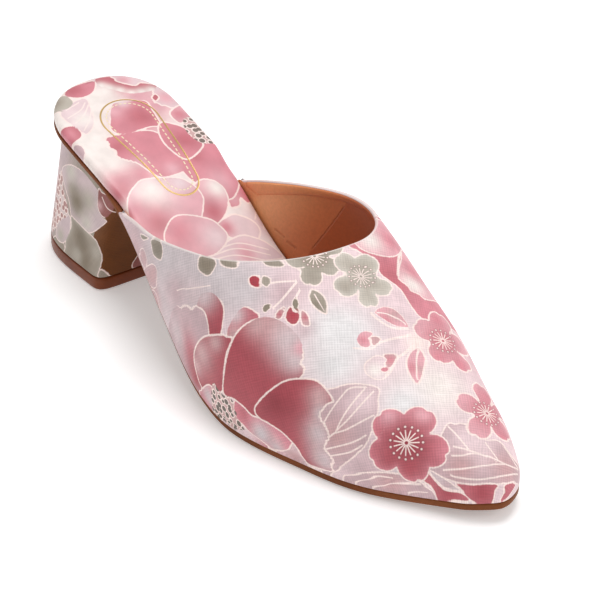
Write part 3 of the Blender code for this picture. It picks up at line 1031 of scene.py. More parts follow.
# %% Chart the sprig
def sprig(chart):
    """Two pale leaves and two hanging buds under the middle blossom."""
    chart.shape(
        2, [(-82.8, -8), (-84, -6.2), (-84, -2.4), (-81.8, -0.6), (-78.2, 0.6), (-73.4, 0.6),
            (-74, -1.6), (-77, -4.6), (-80.6, -7)],
        "blush", (-79, -4.6, 2.6, "pink"), (-80, -1.6, 2.4, "clay"), pen=0.14)
    chart.pen_line([(-83.4, -9.2), (-80.2, -8.4), (-75.6, -5.6), (-72.4, 0.4)], 0.46)
    chart.pen_line([(-82.8, -7.4), (-81.6, -4.4), (-79.6, -2.2), (-74, 0.4)], 0.3, 0.24)
    chart.shape(
        2, [(-64, -1), (-57, -2), (-50.5, -9.5), (-57.5, -9.5), (-62, -6.5)],
        "blush", (-57, -7.5, 2.6, "pink"), (-55, -5, 2, "clay"), pen=0.4)
    chart.pen_line([(-63.2, -1.4), (-54.2, -7.6), (-51.4, -8.6)], 0.34, 0.26)
    chart.shape(
        2, [(-77.2, -16.8), (-77, -14.4), (-75.2, -13), (-73.8, -15.4), (-72, -15.6), (-70.8, -17.4),
            (-72.4, -19.6), (-75.4, -19.4)],
        "blush", (-74.2, -17.4, 2, "pink"), pen=0.2, faint=[(-76.4, -18, 2.4)])
    chart.shape(
        3, [(-74.4, -14), (-72.8, -11.2), (-71, -13.4), (-70.6, -16.4), (-72.2, -15), (-73.6, -16)],
        "clay", pen=0.22)
    chart.shape(
        1, [(-66, -20.4), (-66.2, -15.6), (-60.6, -13.4), (-58, -16.6), (-57.2, -19.6), (-58.6, -21.8),
            (-61.6, -23.2), (-64.4, -22.6)],
        "shell", (-61.5, -20, 3, "cream"), pen=0.24)
    chart.shape(
        2, [(-66.2, -14.6), (-64, -9.6), (-60.4, -14.2), (-62.2, -16.2), (-63.6, -14.2)],
        "clay", (-63, -13, 2, "pink"), pen=0.24)
    chart.shape(
        2, [(-61.6, -17.2), (-60.8, -15.6), (-59.6, -15.6), (-59.2, -17.4), (-60.8, -18.2)],
        "pink", pen=0.2)
    chart.pen_line([(-70, -0.5), (-71, -12), (-70, -17), (-73, -22.5)], 0.56, 0.3)
    chart.pen_line([(-66, 0), (-63.5, -7.5), (-63, -10), (-60, -14), (-57.5, -18.5)], 0.6, 0.4)


print("sprig ready to lay")

# %% Wash the vamp's ground
chart = Chart(vamp_mesh, "shell")
chart.wash_ground(
    (-139.8, -69.2, 26, "lilac"), (-123, -48.5, 15, "lilac"), (-111.1, -44.3, 8, "lilac"),
    (-80, -22, 12, "white"), (-70, -31, 9, "white"), (-103.3, -32.2, 6, "mauve"),
    (-87.3, -33, 4, "mauve"), (-46.3, -4, 11, "cream"), (-45.3, -17.8, 8, "white"),
    (-33, -42.5, 9, "mauve"), (-23.3, -31.2, 5, "lilac"), (-148.5, -86, 6, "old_rose"),
    (-160.6, -85.3, 6, "clay"), (-140.4, -89.6, 5, "clay"), (-58.7, 29.2, 12, "blush"),
    (-29.2, 24.1, 10, "blush"), (-61, -77, 6, "old_rose"), (-53, -67, 5, "clay"),
    (-121, -63, 7, "mist"), (-160, -81, 8, "mauve"), (-131, -78, 8, "mist"), (-170, -87, 6, "mauve"),
    (-66.5, 0, 4, "ivory"), (-82, -24, 8, "white"), (-149, -79, 7, "dusk"), (-129, -71, 7, "mauve"))
print("ground of the vamp washed")

# %% Lay the peony, the sprig and the rose behind the throat
peony(chart)
sprig(chart)
chart.pen_line([(-129.5, -69.5), (-127.5, -65.5), (-125, -62), (-120, -53.5)], 0.2)
chart.shape(
    0, [(-117.5, -1), (-107.5, 1), (-103.5, 5), (-97.5, 3), (-89.5, 6.5), (-82.5, 6.5), (-76.5, 7),
        (-73.5, 10), (-70, 19.5), (-66.5, 29), (-74, 43), (-93.5, 49), (-114, 45), (-123, 20.5)],
    "pink", (-95.4, 6, 9, "old_rose"), (-79.3, 9.9, 6, "pink"))
chart.shape(
    1, [(-121, 24), (-109, 23), (-105, 17.5), (-103.5, 12), (-105, 7), (-108.5, 2.5), (-112.5, 1),
        (-118.5, 2)],
    "blush", (-111.9, 7.6, 5, "cream"), (-111.2, 17.1, 5, "pink"))
chart.shape(
    2, [(-108, 22), (-102.5, 16.5), (-94.5, 9), (-90, 10.5), (-87.5, 10.5), (-86, 13), (-83.5, 14.5),
        (-83, 19), (-85, 25.5), (-95, 29), (-105, 27.5)],
    "blush", (-90.3, 13.5, 5, "cream"), (-97.2, 18.9, 5, "pink"), teeth=(0.3, (-87.3, 12, 5)))
chart.pen_line([(-106.5, 20), (-102.5, 15), (-94.5, 9)], 0.55)
print("peony, sprig and rose laid")

# %% Chart the blossoms
flower(
    chart, 1, -112.4, -15.8, [(26, 10.5, 4), (104, 13, 4.5), (176, 12, 5), (248, 11, 5), (324, 13, 4)],
    "stone", (-112.4, -15.8, 7, "slate"), (-104.5, -21, 4, "taupe"))
flower(
    chart, 3, -98.7, -4, [(34, 12, 3.8), (132, 10.5, 4.5), (198, 12, 4.5), (284, 12.5, 4.5),
        (344, 14, 4)],
    "stone", (-98.7, -4, 7, "taupe"), (-96.5, -13, 4, "taupe"), rim=(1.6, "oat"))
flower(
    chart, 3, -64.2, 10.2, [(12, 15, 4), (76, 12.5, 5), (150, 14.5, 5), (212, 12, 5), (320, 11, 5)],
    "blush", (-64.2, 10.2, 6.5, "old_rose"), (-53, 11, 4, "pink"), (-74, 14, 4, "pink"),
    (-58, 4, 3, "pink"), pen=0.32)
flower(
    chart, 3, -31.2, 7.8, [(20, 12, 4.5), (96, 12, 3.5), (150, 15, 4.5), (220, 12, 4.5),
        (306, 12.5, 4.5)],
    "blush", (-31.2, 7.8, 6.5, "old_rose"), (-21, 9.5, 4, "pink"), (-38, 14, 5, "pink"), pen=0.34)
flower(
    chart, 4, -32.2, -23.9, [(42, 15, 5.8), (122, 14.5, 5.8), (192, 14.5, 6), (264, 14.5, 5.8),
        (342, 14, 6)],
    "old_rose", (-32.2, -23.9, 7.5, "wine"), (-25, -28.5, 5, "rose"), (-29.5, -31.5, 3.5, "rose"),
    (-44.5, -24.5, 4, "blush"), (-39, -13.5, 4, "blush"), (-22, -13.5, 4, "pink"), rim=(1.2, "pink"),
    pen=0.26)
print("5 blossoms laid")

# %% Chart buds and loose petals
GREY_PETALS = (
    [(-152.8, -70.2), (-150.4, -66.4), (-147.6, -65.4), (-145, -67), (-143.8, -70), (-145.6, -72.2),
     (-148.4, -73.6), (-151, -72.4)],
    [(-132, -52.2), (-129, -48.8), (-126.4, -47.6), (-124.4, -49.6), (-123.6, -52.4), (-125.8, -54.2),
     (-128.8, -54.8)],
    [(-126.4, -45.6), (-123.6, -42.4), (-121.6, -40.8), (-120.4, -42.8), (-122.6, -45.6),
     (-125, -46.8)],
    [(-160.2, -77.2), (-157.6, -74), (-154.6, -71.6), (-156, -74.8), (-158.2, -77.6)],
    [(-118.6, -32.8), (-116.8, -29.2), (-114.2, -26.8), (-113, -28.2), (-114.8, -31.8),
     (-116.8, -33.6)],
)
for petal in GREY_PETALS:
    chart.shape(2, petal, "slate", rim=(1.2, "taupe"), pen=0.24)
leaf(chart, 2, (-100.4, -23.6), (-89.2, -24), 5.4, "taupe", (-94.4, -25.5, 3, "slate"), pen=0.34)
chart.shape(
    2, [(-113.8, -41.4), (-114.8, -40), (-114.4, -38.2), (-112.8, -36.4), (-111.6, -38.4),
        (-109.6, -37.6), (-109.6, -39.4), (-111, -41.2)],
    "crimson", (-112.3, -39.6, 1.2, "wine"), pen=0.26)
chart.shape(
    3, [(-112.8, -36.4), (-112.4, -35.2), (-110, -34.2), (-108.4, -36.8), (-110, -37.8),
        (-111.4, -37.6)],
    "taupe", pen=0.22)
chart.shape(
    2, [(-98.2, -38.2), (-98.4, -34.8), (-95.2, -38.2), (-96, -40.2)],
    "clay", (-96.8, -38, 1.4, "old_rose"), pen=0.24)
chart.shape(
    3, [(-95, -36.8), (-96.8, -35.2), (-97.6, -33.6), (-96.6, -33), (-95, -33.4), (-94.8, -31.6),
        (-92.8, -32.2), (-91, -33.8), (-90.6, -35.8), (-92.8, -37.2)],
    "rose", (-94, -34.4, 1.6, "crimson"), pen=0.26)
chart.shape(
    2, [(-94.2, -31.2), (-93.6, -30), (-91, -29.8), (-88, -31), (-88.2, -32.4), (-90, -33.2)],
    "clay", (-91.5, -31, 1.4, "old_rose"), pen=0.26)
chart.shape(3, [(-100.2, -29.8), (-98.6, -32.2), (-96, -32.8), (-96.4, -30.8)], "slate", pen=0.16)
chart.shape(3, [(-102.4, -41.6), (-102.4, -39.6), (-100.8, -38.8), (-100, -42.4)], "slate", pen=0.16)
BUD_STEMS = (
    [(-105.5, -26.5), (-101.5, -34.5), (-100, -39)], [(-109, -35), (-108, -32), (-105.8, -26.8)],
    [(-102.2, -27), (-100, -29.8), (-97.4, -31.2)],
)
for path in BUD_STEMS:
    chart.pen_line(path, 0.44, 0.34)
WING_SCRAPS = (
    [(-158, -85.6), (-156, -80.8), (-152.8, -80.8), (-151.2, -83), (-152, -87.6), (-156, -88)],
    [(-150.5, -85), (-147.5, -78.5), (-144.5, -76.5), (-142.5, -79), (-141.5, -85.5), (-144.5, -89.5),
     (-149, -91), (-152.5, -90)],
    [(-144.4, -93), (-142.4, -89), (-139.6, -88.4), (-137, -90.4), (-136, -94)],
)
for scrap in WING_SCRAPS:
    chart.shape(1, scrap, "clay", rim=(1.5, "mauve"), pen=0.18)
print("buds and loose petals laid")

# %% Chart the leaves at the toe
chart.shape(
    2, [(-55, -22.5), (-51, -24.5), (-46, -27.5), (-40, -35), (-39, -42), (-39.5, -51), (-40.5, -60),
        (-52, -58.5), (-58.5, -49), (-64, -40.5), (-62.5, -35), (-60.5, -29)],
    "mauve", (-48, -44, 7, "clay"), (-53, -29, 6, "shell"))
TOE_VEINS = (
    [(-57, -25.5), (-59.5, -30.5), (-58.5, -34.5), (-54.5, -44.5)],
    [(-57, -26), (-53, -35.5), (-49, -43.5)], [(-54.5, -24), (-50.5, -35.5), (-49.5, -42.5)],
    [(-46.5, -28.5), (-47.5, -38), (-49, -43)], [(-49.2, -42.6), (-49.4, -46.4), (-48.6, -50.6)],
    [(-42, -34), (-43, -40), (-47.5, -51.5)], [(-40, -37), (-41, -43), (-44.5, -51)],
    [(-30.8, -9), (-27.2, -8), (-20.2, -6.6)], [(-23.5, -11), (-13.5, 1.5), (-10.5, 6.5), (-9.5, 11)],
    [(-20.6, 0.2), (-17.6, 0.8), (-13.6, 1.8)], [(-18, 6.8), (-12, 8.8), (-9.8, 11)],
    [(-20.8, -13), (-19.2, -9.4), (-18.6, -6.2), (-17.2, -3)],
    [(-18, -18), (-14.5, -9.5), (-11.5, 4.5)],
    [(-15.5, -16.5), (-13.5, -14.5), (-9.5, -7.5), (-8, 2), (-8, 10.5)],
    [(-31.5, -51), (-29.5, -41.5), (-25, -35.5)],
    [(-26.5, -46), (-24.5, -41.5), (-24, -37), (-18, -28)],
    [(-17.2, -35.4), (-15.6, -31.6), (-13.6, -28.2)],
)
for vein in TOE_VEINS:
    chart.pen_line(vein, 0.32, 0.28)
chart.shape(
    1, [(-21.5, -22.5), (-25.5, -16.5), (-31.5, -9), (-30.5, -6), (-29.5, -3), (-22, 0.5), (-20, 6),
        (-13.5, 9), (-10, 13), (-4, 16), (-5.5, 7), (-5.5, 1.5), (-7.5, -6.5), (-12.5, -16)],
    "mauve", (-20.3, -2, 7, "shell"), (-9.9, 3.9, 6, "clay"), (-16, -12, 5, "clay"),
    (-24, -5, 4, "shell"))
chart.shape(
    2, [(-12, -16), (-9, -10.5), (-6, -2), (-4, -4), (-0.5, -6), (-0.5, -9.5), (-3.5, -14),
        (-8.5, -15)],
    "old_rose", (-5, -9, 5, "rose"), pen=0.3)
chart.shape(
    2, [(-5.2, 0.8), (-5.2, 7.4), (-2.8, 5.6), (-0.4, 1.8), (0.2, -2.4), (-3.2, -0.2)],
    "old_rose", pen=0.3)
chart.shape(
    2, [(-20.5, -23), (-13, -21.5), (-8.5, -15.5), (-4, -15), (-6, -19.5), (-9.5, -26.5), (-14.5, -25),
        (-18.5, -26.5), (-19.5, -24.5)],
    "old_rose", (-10, -21, 5, "rose"), pen=0.3)
chart.shape(
    3, [(-20, -22), (-10, -16), (-8, -15), (-4, -14.5), (-8.5, -15.5), (-13, -21)],
    "mist", (-13, -19.4, 2, "mauve"), pen=0.26)
chart.shape(
    1, [(-35.5, -54), (-35, -48.5), (-28.5, -37), (-21.5, -29.5), (-14.5, -26), (-11.5, -26.5),
        (-9.5, -26.5), (-12, -33), (-20, -43), (-30, -56)],
    "mauve", (-24, -38, 6, "clay"), pen=0.34)
print(len(TOE_VEINS), "veins drawn")

# %% Chart the medial wing
chart.lay_at(turn=172, shift=(-186, 8))
peony(chart)
chart.lay_at(turn=180, shift=(-104, 46))
sprig(chart)
chart.lay_at()
blossom(chart, 3, -132, 44, 12.5, 20, "stone", "taupe", "oat")
blossom(chart, 3, -148, 58, 12.0, 55, "blush", "old_rose", "blush")
blossom(chart, 4, -44, 36, 13.5, 10, "old_rose", "wine", "blush")
chart.press()

# %% [markdown]
# ## Print on the insole
# The insole's cloth is smoother and its print larger: peony petals that lie over each
# other like scales. A gilt frame, wider at the heel, is pressed on the seat, with a
# broken line inside it. The frame is left empty.

# %% Wash the insole's ground
chart = Chart(insole_mesh, "cream")
chart.wash_ground(
    (8, 8, 6, "pink"), (12, 15, 6, "old_rose"), (17, 12, 5, "blush"), (4, 2, 3, "shell"),
    (10, 2, 4, "cream"), (24, 16, 8, "blush"), (53, -19, 8, "pink"), (57, -22, 5, "old_rose"),
    (54, -11, 6, "pink"), (43, -17, 6, "cream"), (20, -12, 6, "cream"), (31, 3, 9, "pink"),
    (46, 2, 10, "blush"), (84, 20, 7, "shell"), (110, 0, 18, "lilac"), (140, 10, 24, "shell"),
    (190, 8, 40, "blush"))
print("ground of the insole washed")

# %% Chart the petals on the seat
chart.shape(
    0, [(2.5, 1.5), (6.5, 0), (9, -3.5), (9, -8.5), (5.5, -12.5), (2, -9)],
    "pink", (4, -8, 4, "old_rose"), pen=0.32)
chart.shape(
    0, [(4.4, -13.2), (8.4, -11.6), (12, -13), (13, -16.6), (10.4, -21), (6, -20)],
    "stone", (7, -17, 3, "taupe"), pen=0.3)
chart.shape(
    0, [(20.4, -20), (23, -18.4), (26.4, -18.8), (28, -21.6), (27, -26), (20, -26)],
    "old_rose", (24, -24, 4, "pink"), pen=0.3)
chart.shape(0, [(28.6, -24.6), (31, -22.2), (34.6, -22.8), (36.4, -26), (32, -28)], "mauve", pen=0.3)
chart.shape(
    0, [(2, 3), (3.5, 9), (7, 9.5), (11.5, 14), (11, 17), (12, 18.5), (13.5, 22), (16.5, 19), (15, 10),
        (9, 4), (6.5, 2)],
    "old_rose", (6.6, 2.4, 2.4, "cream"), (9.2, 4.4, 2.5, "cream"), (12, 7.2, 2.4, "cream"),
    (15, 10.4, 2.2, "cream"), (16, 14.4, 2.4, "cream"), (16.6, 18.6, 2.6, "cream"), pen=NO_LINE)
chart.shape(
    1, [(3, 9), (5, 9.5), (7, 9.5), (11.5, 14), (11, 17), (13.5, 22), (13, 26), (7, 22), (1, 13)],
    "shell", (7, 12, 3, "blush"), pen=0.34)
chart.shape(1, [(18.8, 18.4), (21.2, 18.4), (22.4, 16), (20, 16)], "old_rose", pen=0.3)
chart.shape(
    0, [(58, 25), (64.5, 22), (71, 14), (74.5, 13), (76.5, 13), (76.5, 16.5), (74, 18.5), (76.5, 20),
        (76, 22), (77.5, 23), (76, 27)],
    "pink", (74, 16, 3, "blush"), pen=0.36)
chart.shape(
    0, [(14.5, 25), (16.5, 19), (20.5, 17), (23, 15.5), (28.5, 21), (28, 26)],
    "shell", (22, 21, 4, "blush"), teeth=(0.4, (21, 17, 7)), pen=0.34)
chart.shape(
    1, [(27.4, 26), (28.8, 19), (31.6, 16.6), (36.4, 17.4), (36, 20.4), (36, 26)],
    "blush", (32, 20, 3, "pink"), pen=0.34)
chart.shape(
    1, [(17.5, 2), (19, 7), (21, 12.5), (26.5, 12), (34.5, 10), (34, 5.5), (33.5, -5), (29.5, -8),
        (24, -5), (18.5, -0.5)],
    "pink", (28, 6, 6, "old_rose"), (21, -2, 4, "blush"), (18, 4, 3, "shell"),
    faint=[(19, 0, 5), (18.4, 6, 5)])
print("back of the seat charted")

# %% Chart the petals round the frame
chart.shape(
    0, [(10, -7), (17, -8.5), (24, -12), (27, -17), (24, -18.5), (14, -20), (10.5, -15)],
    "shell", (20, -14, 4, "cream"), pen=0.3)
chart.shape(
    1, [(32.5, -8.5), (32, -12.5), (35, -13), (36.5, -14), (39.5, -13), (42, -14), (45, -12.5),
        (48.5, -9.5), (57, -6), (58.5, 0), (57, 6), (46, 8), (36, 5)],
    "pink", (38, -11, 4, "old_rose"), (48, -8, 3, "blush"), (44, 2, 6, "pink"), (56, 1, 3, "blush"),
    teeth=(0.4, (40, -13, 9)), pen=0.34)
chart.shape(
    2, [(33.5, 11), (36.5, 15.5), (40.5, 18), (46, 19), (50.5, 18), (54, 8.5), (46, 5.5), (38, 7)],
    "pink", (45, 14, 5, "old_rose"), pen=0.36)
chart.shape(
    1, [(49, 19.5), (51, 12), (54, 6), (60, 4), (68, 8), (73.5, 14), (70, 20.5), (64, 24), (60, 27),
        (50, 26)],
    "pink", (56, 19, 6, "pink"), (66, 15, 5, "blush"), (53, 12, 4, "old_rose"))
print("middle of the seat charted")

# %% Chart the petals in front of the frame
chart.shape(
    1, [(80.5, 3.5), (79, 9.5), (79, 12.5), (81.5, 16.5), (84.5, 18.5), (87.5, 18), (90, 14), (88, 8),
        (84, 4)],
    "shell", (82.6, 6.2, 3.4, "pink"), pen=0.34)
chart.pen_line([(83.2, 18.6), (79.6, 21.6), (78.6, 24)], 0.3)
chart.pen_line([(79.6, 21.6), (81.4, 21.6), (83.2, 22), (86.8, 20)], 0.3)
chart.shape(
    2, [(86.5, 9), (88.5, 14.5), (92, 18.5), (97.5, 21), (97.5, 16), (95.5, 6), (92.5, -2), (90, -6),
        (88.5, -3)],
    "shell", (93, 8, 4, "blush"))
INSOLE_VEINS = (
    [(90, -4), (90.5, 6), (96, 17)], [(88.5, 0), (89, 8), (94, 17.5)],
    [(91.5, -4), (92.5, 4), (97, 13.5)], [(12, -8), (15, -12), (16.6, -19)],
    [(13.6, -7.6), (18, -12.6), (20.4, -18)], [(11, -10), (12.6, -17)],
    [(15, -7), (21, -12), (25, -17)],
)
for vein in INSOLE_VEINS:
    chart.pen_line(vein, 0.26, 0.2)
chart.shape(
    3, [(63.5, 8), (65, 12.5), (68.5, 14.5), (72.5, 14), (76.5, 11), (79.5, 6.5), (80, 2), (74, -1),
        (66, 3)],
    "blush", (68, 12, 4, "cream"), (76, 5, 5, "old_rose"))
chart.shape(
    4, [(56, -11.5), (57, -16), (59.5, -20.5), (64, -24), (69, -25.5), (75, -24), (80, -19), (82, -10),
        (79, -3), (71.5, 4), (67.5, 5), (63, 3.5), (59.5, -0.5)],
    "blush", (61.5, -12, 7, "cream"), (73, -17, 7, "old_rose"), (66, -22, 4, "pink"),
    (62, 0, 4, "shell"))
chart.shape(
    5, [(73, -8.5), (77.5, 1.5), (81.5, 4.5), (85.5, 5), (88.5, 1), (90, -5), (88.5, -11),
        (84.5, -16.5), (80, -18.5), (76, -15.5)],
    "blush", (78, -12, 6, "pink"), (85, 1, 6, "shell"))
chart.seed_head([(34.5, 21), (37, 18.5), (41.5, 17), (46.5, 17.5), (49.5, 20), (49, 26), (36, 26)])
print("front of the seat charted")

# %% Chart what the vamp hides
chart.lay_at(turn=0, shift=(226, 66))
peony(chart)
chart.lay_at()
blossom(chart, 3, 186, 20, 12, 30, "pink", "old_rose", "blush")
blossom(chart, 3, 206, 4, 11, 75, "stone", "taupe", "stone")
chart.press()

# %% Press the gilt frame
# The frame's two round ends: station, side and radius.
GILT_BACK, GILT_FRONT = (27.5, 1.7, 11.1), (60.0, 0.8, 7.4)
END_POINTS, FRAME_POINTS = 40, 240


def press_gilt(mesh):
    """Keeps, for each corner, its distance from the frame and how far round it lies."""
    (s0, y0, r0), (s1, y1, r1) = GILT_BACK, GILT_FRONT
    lean = math.acos((r0 - r1) / math.hypot(s1 - s0, y1 - y0))
    front = np.linspace(-lean, lean, END_POINTS)
    back = np.linspace(lean, 2 * np.pi - lean, END_POINTS)
    line = np.concatenate([
        np.stack([s1 + r1 * np.cos(front), y1 + r1 * np.sin(front)], 1),
        np.stack([s0 + r0 * np.cos(back), y0 + r0 * np.sin(back)], 1)])
    line = np.concatenate([line, line[:1]])
    run = np.concatenate([[0], np.linalg.norm(np.diff(line, axis=0), axis=1).cumsum()])
    even = np.linspace(0, run[-1], FRAME_POINTS)
    line = np.stack([np.interp(even, run, line[:, 0]), np.interp(even, run, line[:, 1])], 1)
    gap, share, _, inside = to_line(line, flat_cloth(mesh)[:, :2].astype(float))
    keep(mesh, "gilt", np.stack([np.where(inside, -gap, gap), share * run[-1], 0 * share], 1))
    return run[-1]


print("gilt frame is", round(press_gilt(insole_mesh)), "mm round")

# %% [markdown]
# ## Print on the heel
# The piece cut for the heel came from a greyer part of the cloth: pale stone petals,
# a seed head towards the back and brown at the breast, darkened there as painted shade.

# %% Chart the heel's petals
def heel_petals(chart):
    chart.shape(
        1, [(27.5, 36), (28.5, 39), (34.5, 43), (42.5, 44), (50, 42), (52.5, 40.5), (53.5, 35.5),
            (55, 33), (59, 31), (59, 29.5), (55, 24), (52, 21.5), (49.5, 21.5), (42.5, 22.5),
            (39.5, 23), (36.5, 28), (30.5, 33)],
        "mist", (48, 34, 5, "stone"), (37.5, 33.6, 4, "taupe"), (41, 31, 5, "taupe"),
        (43.2, 28, 4, "taupe"), (41.4, 30.2, 3.4, "slate"), (34.5, 40, 4, "oat"),
        (49.5, 24.8, 3.5, "oat"), pen=0.2, faint=[(49, 43, 6), (55, 33, 3)])
    chart.shape(
        2, [(39.5, 22.5), (42.5, 22.5), (49.5, 21.5), (54.5, 21), (57.5, 20), (61, 14.5), (61.5, 7),
            (61, 2), (41, 2), (40, 8.5), (39.5, 11.5), (41, 18.5)],
        "taupe", (47.1, 17.5, 4.5, "slate"), (50, 13.5, 3.6, "slate"), (53.4, 9, 3.8, "slate"),
        (47.6, 8.5, 3, "stone"), (58.8, 16, 2.8, "stone"), rim=(0.9, "stone"), pen=0.2)
    chart.shape(
        2, [(40, 20), (40.5, 14), (38.5, 9.5), (35, 8), (31.5, 8.5), (31, 13), (33.5, 19),
            (37.5, 22.5)],
        "mist", (35, 11, 3, "stone"), pen=0.2)
    chart.shape(1, [(31, 8), (28, 2), (41, 2), (38.5, 9)], "taupe")
    chart.seed_head([
        (27, 36), (31, 30.5), (36, 25.5), (38, 22), (33.5, 17), (30, 11), (26, 7), (23.5, 12), (25, 22),
        (24, 30)])
    chart.shape(
        0, [(52.4, 42), (54.8, 41.6), (58, 42), (62, 41), (62.4, 36), (60, 33), (58, 32), (55.6, 32.8),
            (53.4, 35.6)],
        "russet", (54.5, 35.5, 2, "clay"), pen=0.22)
    chart.pen_line([(55, 40), (58.4, 37), (62.4, 35)], 0.22)
    chart.shape(1, [(75.6, 7), (77.6, 11), (80.6, 11.4), (82, 7), (79, 4)], "russet", pen=0.24)
    chart.shape(1, [(61.4, 8.8), (64, 8), (66.6, 5), (67, 2), (61, 2)], "taupe", pen=0.3)


print("petals ready to lay")

# %% Chart the heel
chart = Chart(heel_mesh, "taupe")
chart.wash_ground(
    (18, 30, 14, "shell"), (20, 12, 10, "mist"), (24, 44, 10, "mist"), (0, 30, 14, "stone"),
    (-30, 34, 14, "mist"), (-50, 30, 12, "stone"))
# Brown over the breast and a little round its corners, partly the cover's brown and partly painted shade
# under the arch.
BREAST_BROWN_WITH_PAINTED_SHADE = ((58.5, 31), (55, 25), (56, 14), (58, 4), (58, -4), (99, -4), (99, 60), (64, 60), (60, 37))
for side in (1, -1):
    chart.shape(0, [(side * u, v) for u, v in BREAST_BROWN_WITH_PAINTED_SHADE], "brown_with_painted_shade", pen=NO_LINE)
heel_petals(chart)
chart.lay_at(turn=180, shift=(18, 52))
heel_petals(chart)
chart.lay_at()
blossom(chart, 3, 6, 38, 11, 15, "stone", "taupe", "lilac")
blossom(chart, 3, -62, 34, 11, 50, "pink", "old_rose", "blush")
chart.press()

# %% [markdown]
# ## Printed cloth
# One recipe serves all printed pieces. It stacks the layers of the chart, each with its
# ivory line, then adds the flowers' hearts, the seed heads, a slight mottling of the dye
# and, where it shows, the weave. The vamp and heel are a slubby plain weave. The
# insole's cloth is pressed smooth and a little glossy.

# %% Motifs and their lines
LINE_SOFT, EDGE_SOFT = 0.17, 0.15
WAVER_SCALE, WAVER = 0.8, 0.25
STROKE_LAYER, STROKE_FADE = 2, (0.45, 0.6)


class Cloth(Finish):
    """A finish that reads the print kept on its mesh."""

    def __init__(self, name, **sockets):
        super().__init__(name, **sockets)
        self.place = self.read("cloth")["Vector"]

    def apart(self, vector):
        return self.lay("SeparateXYZ", {0: vector}).outputs

    def kept(self, key):
        return self.apart(self.read(key)["Vector"])

    def less(self, value, edge, soft):
        """1 where value is under edge."""
        return self.ramp(self.maths("SUBTRACT", value, edge), soft, -soft)

    def within(self, value, edge, soft):
        """1 where value is less than edge away from nought."""
        return self.less(self.maths("ABSOLUTE", value), edge, soft)

    def length(self, x, y):
        return self.maths("SQRT", self.maths("MULTIPLY_ADD", x, x, self.maths("MULTIPLY", y, y)))


def motifs(cloth):
    """Colour of the stacked motifs, and where their lines run."""
    shake = cloth.noise(WAVER_SCALE, 2.0, cloth.place)
    waver = cloth.maths("MULTIPLY_ADD", shake, 2 * WAVER, -WAVER)
    colour, lines = cloth.read("ground")["Color"], 0.0
    for layer in range(LAYERS):
        edge, width, _ = cloth.kept(f"line_{layer}")
        edge = cloth.maths("ADD", edge, waver)
        inside = cloth.ramp(edge, EDGE_SOFT, -EDGE_SOFT)
        colour = cloth.blend(inside, colour, cloth.read(f"tint_{layer}")["Color"])
        below = cloth.maths("MULTIPLY", lines, cloth.maths("SUBTRACT", 1.0, inside))
        lines = cloth.maths("MAXIMUM", below, cloth.within(edge, width, LINE_SOFT))
        if layer == STROKE_LAYER:
            for pen in range(PENS):
                gap, there, width = cloth.kept(f"pen_{pen}")
                stroke = cloth.within(gap, width, LINE_SOFT)
                stroke = cloth.maths("MULTIPLY", stroke, cloth.ramp(there, *STROKE_FADE))
                lines = cloth.maths("MAXIMUM", lines, stroke)
    return colour, lines


print("strokes lie on layer", STROKE_LAYER)

# %% Hearts and seed heads
# Measures of a heart are shares of its radius: edge and softness of each mark.
RAYS, RAY_WIDTH, RAY_MIDDLE, RAY_LENGTH = 15, (0.017, 0.01), 0.2, (0.15, 0.015)
DOT_AT, DOT, DOT_SHADOW = 0.44, (0.03, 0.014), (0.055, 0.02)
DOT_SHADE, DOT_SHADE_SHARE = (120, 70, 72), 0.45
BEAD_SCALE, BEAD_SCATTER, BEAD_SIZES = 0.37, 0.65, (0.26, 0.42)
BEAD_RIM, BEAD_GAP = (0.03, -0.03), (0.12, 0.22)
BEAD, BETWEEN = (104, 92, 82), (206, 168, 166)
IVORY = linear(*DYES["ivory"])


def hearts(cloth, colour, lines):
    """Adds the fine rays in the middle of each flower, with a dot beyond each ray."""
    x, y, _ = cloth.kept("heart")
    r = cloth.length(x, y)
    sector = cloth.maths("MULTIPLY", cloth.maths("ARCTAN2", y, x), RAYS / (2 * math.pi))
    off = cloth.maths("SUBTRACT", cloth.maths("FRACT", sector), 0.5)
    off = cloth.maths("MULTIPLY", cloth.maths("MULTIPLY", off, r), 2 * math.pi / RAYS)
    off = cloth.maths("ABSOLUTE", off)
    along_ray = cloth.within(cloth.maths("SUBTRACT", r, RAY_MIDDLE), *RAY_LENGTH)
    ray = cloth.maths("MULTIPLY", cloth.less(off, *RAY_WIDTH), along_ray)
    to_dot = cloth.length(cloth.maths("SUBTRACT", r, DOT_AT), off)
    shadow = cloth.maths("MULTIPLY", cloth.less(to_dot, *DOT_SHADOW), DOT_SHADE_SHARE)
    colour = cloth.blend(shadow, colour, linear(*DOT_SHADE))
    marks = cloth.maths("MAXIMUM", ray, cloth.less(to_dot, *DOT))
    return colour, cloth.maths("MAXIMUM", lines, marks)


def seeds(cloth, bead, between):
    """Round beads with an ivory rim, and the colour between them."""
    inputs = {"Vector": cloth.place, "Scale": BEAD_SCALE, "Randomness": BEAD_SCATTER}
    cells = cloth.lay("TexVoronoi", inputs, voronoi_dimensions="2D").outputs
    size = cloth.ramp(cloth.apart(cells["Color"])[0], 0.0, 1.0, *BEAD_SIZES)
    from_rim = cloth.maths("SUBTRACT", cells["Distance"], size)
    colour = cloth.blend(cloth.ramp(from_rim, *BEAD_RIM), IVORY, linear(*bead))
    return cloth.blend(cloth.ramp(from_rim, *BEAD_GAP), colour, linear(*between))


print("hearts have", RAYS, "rays")

# %% Weave and gilt
THREAD_PITCH, WEAVE_TURN, WAVE_SHARE = 0.95, math.radians(25), 0.16
SLUBS = ((2.0, 0.16, 1.0), (0.16, 2.0, 1.0))
GILT_LINE, GILT_DASH, DASH_INSET = (0.32, 0.14), (0.25, 0.1), 2.2
DASH_PITCH, DASH_SHARE = 2.2, (0.62, 0.05)
GILT, PALE_GILT, GILT_METAL = (196, 162, 98), (244, 226, 190), 0.6


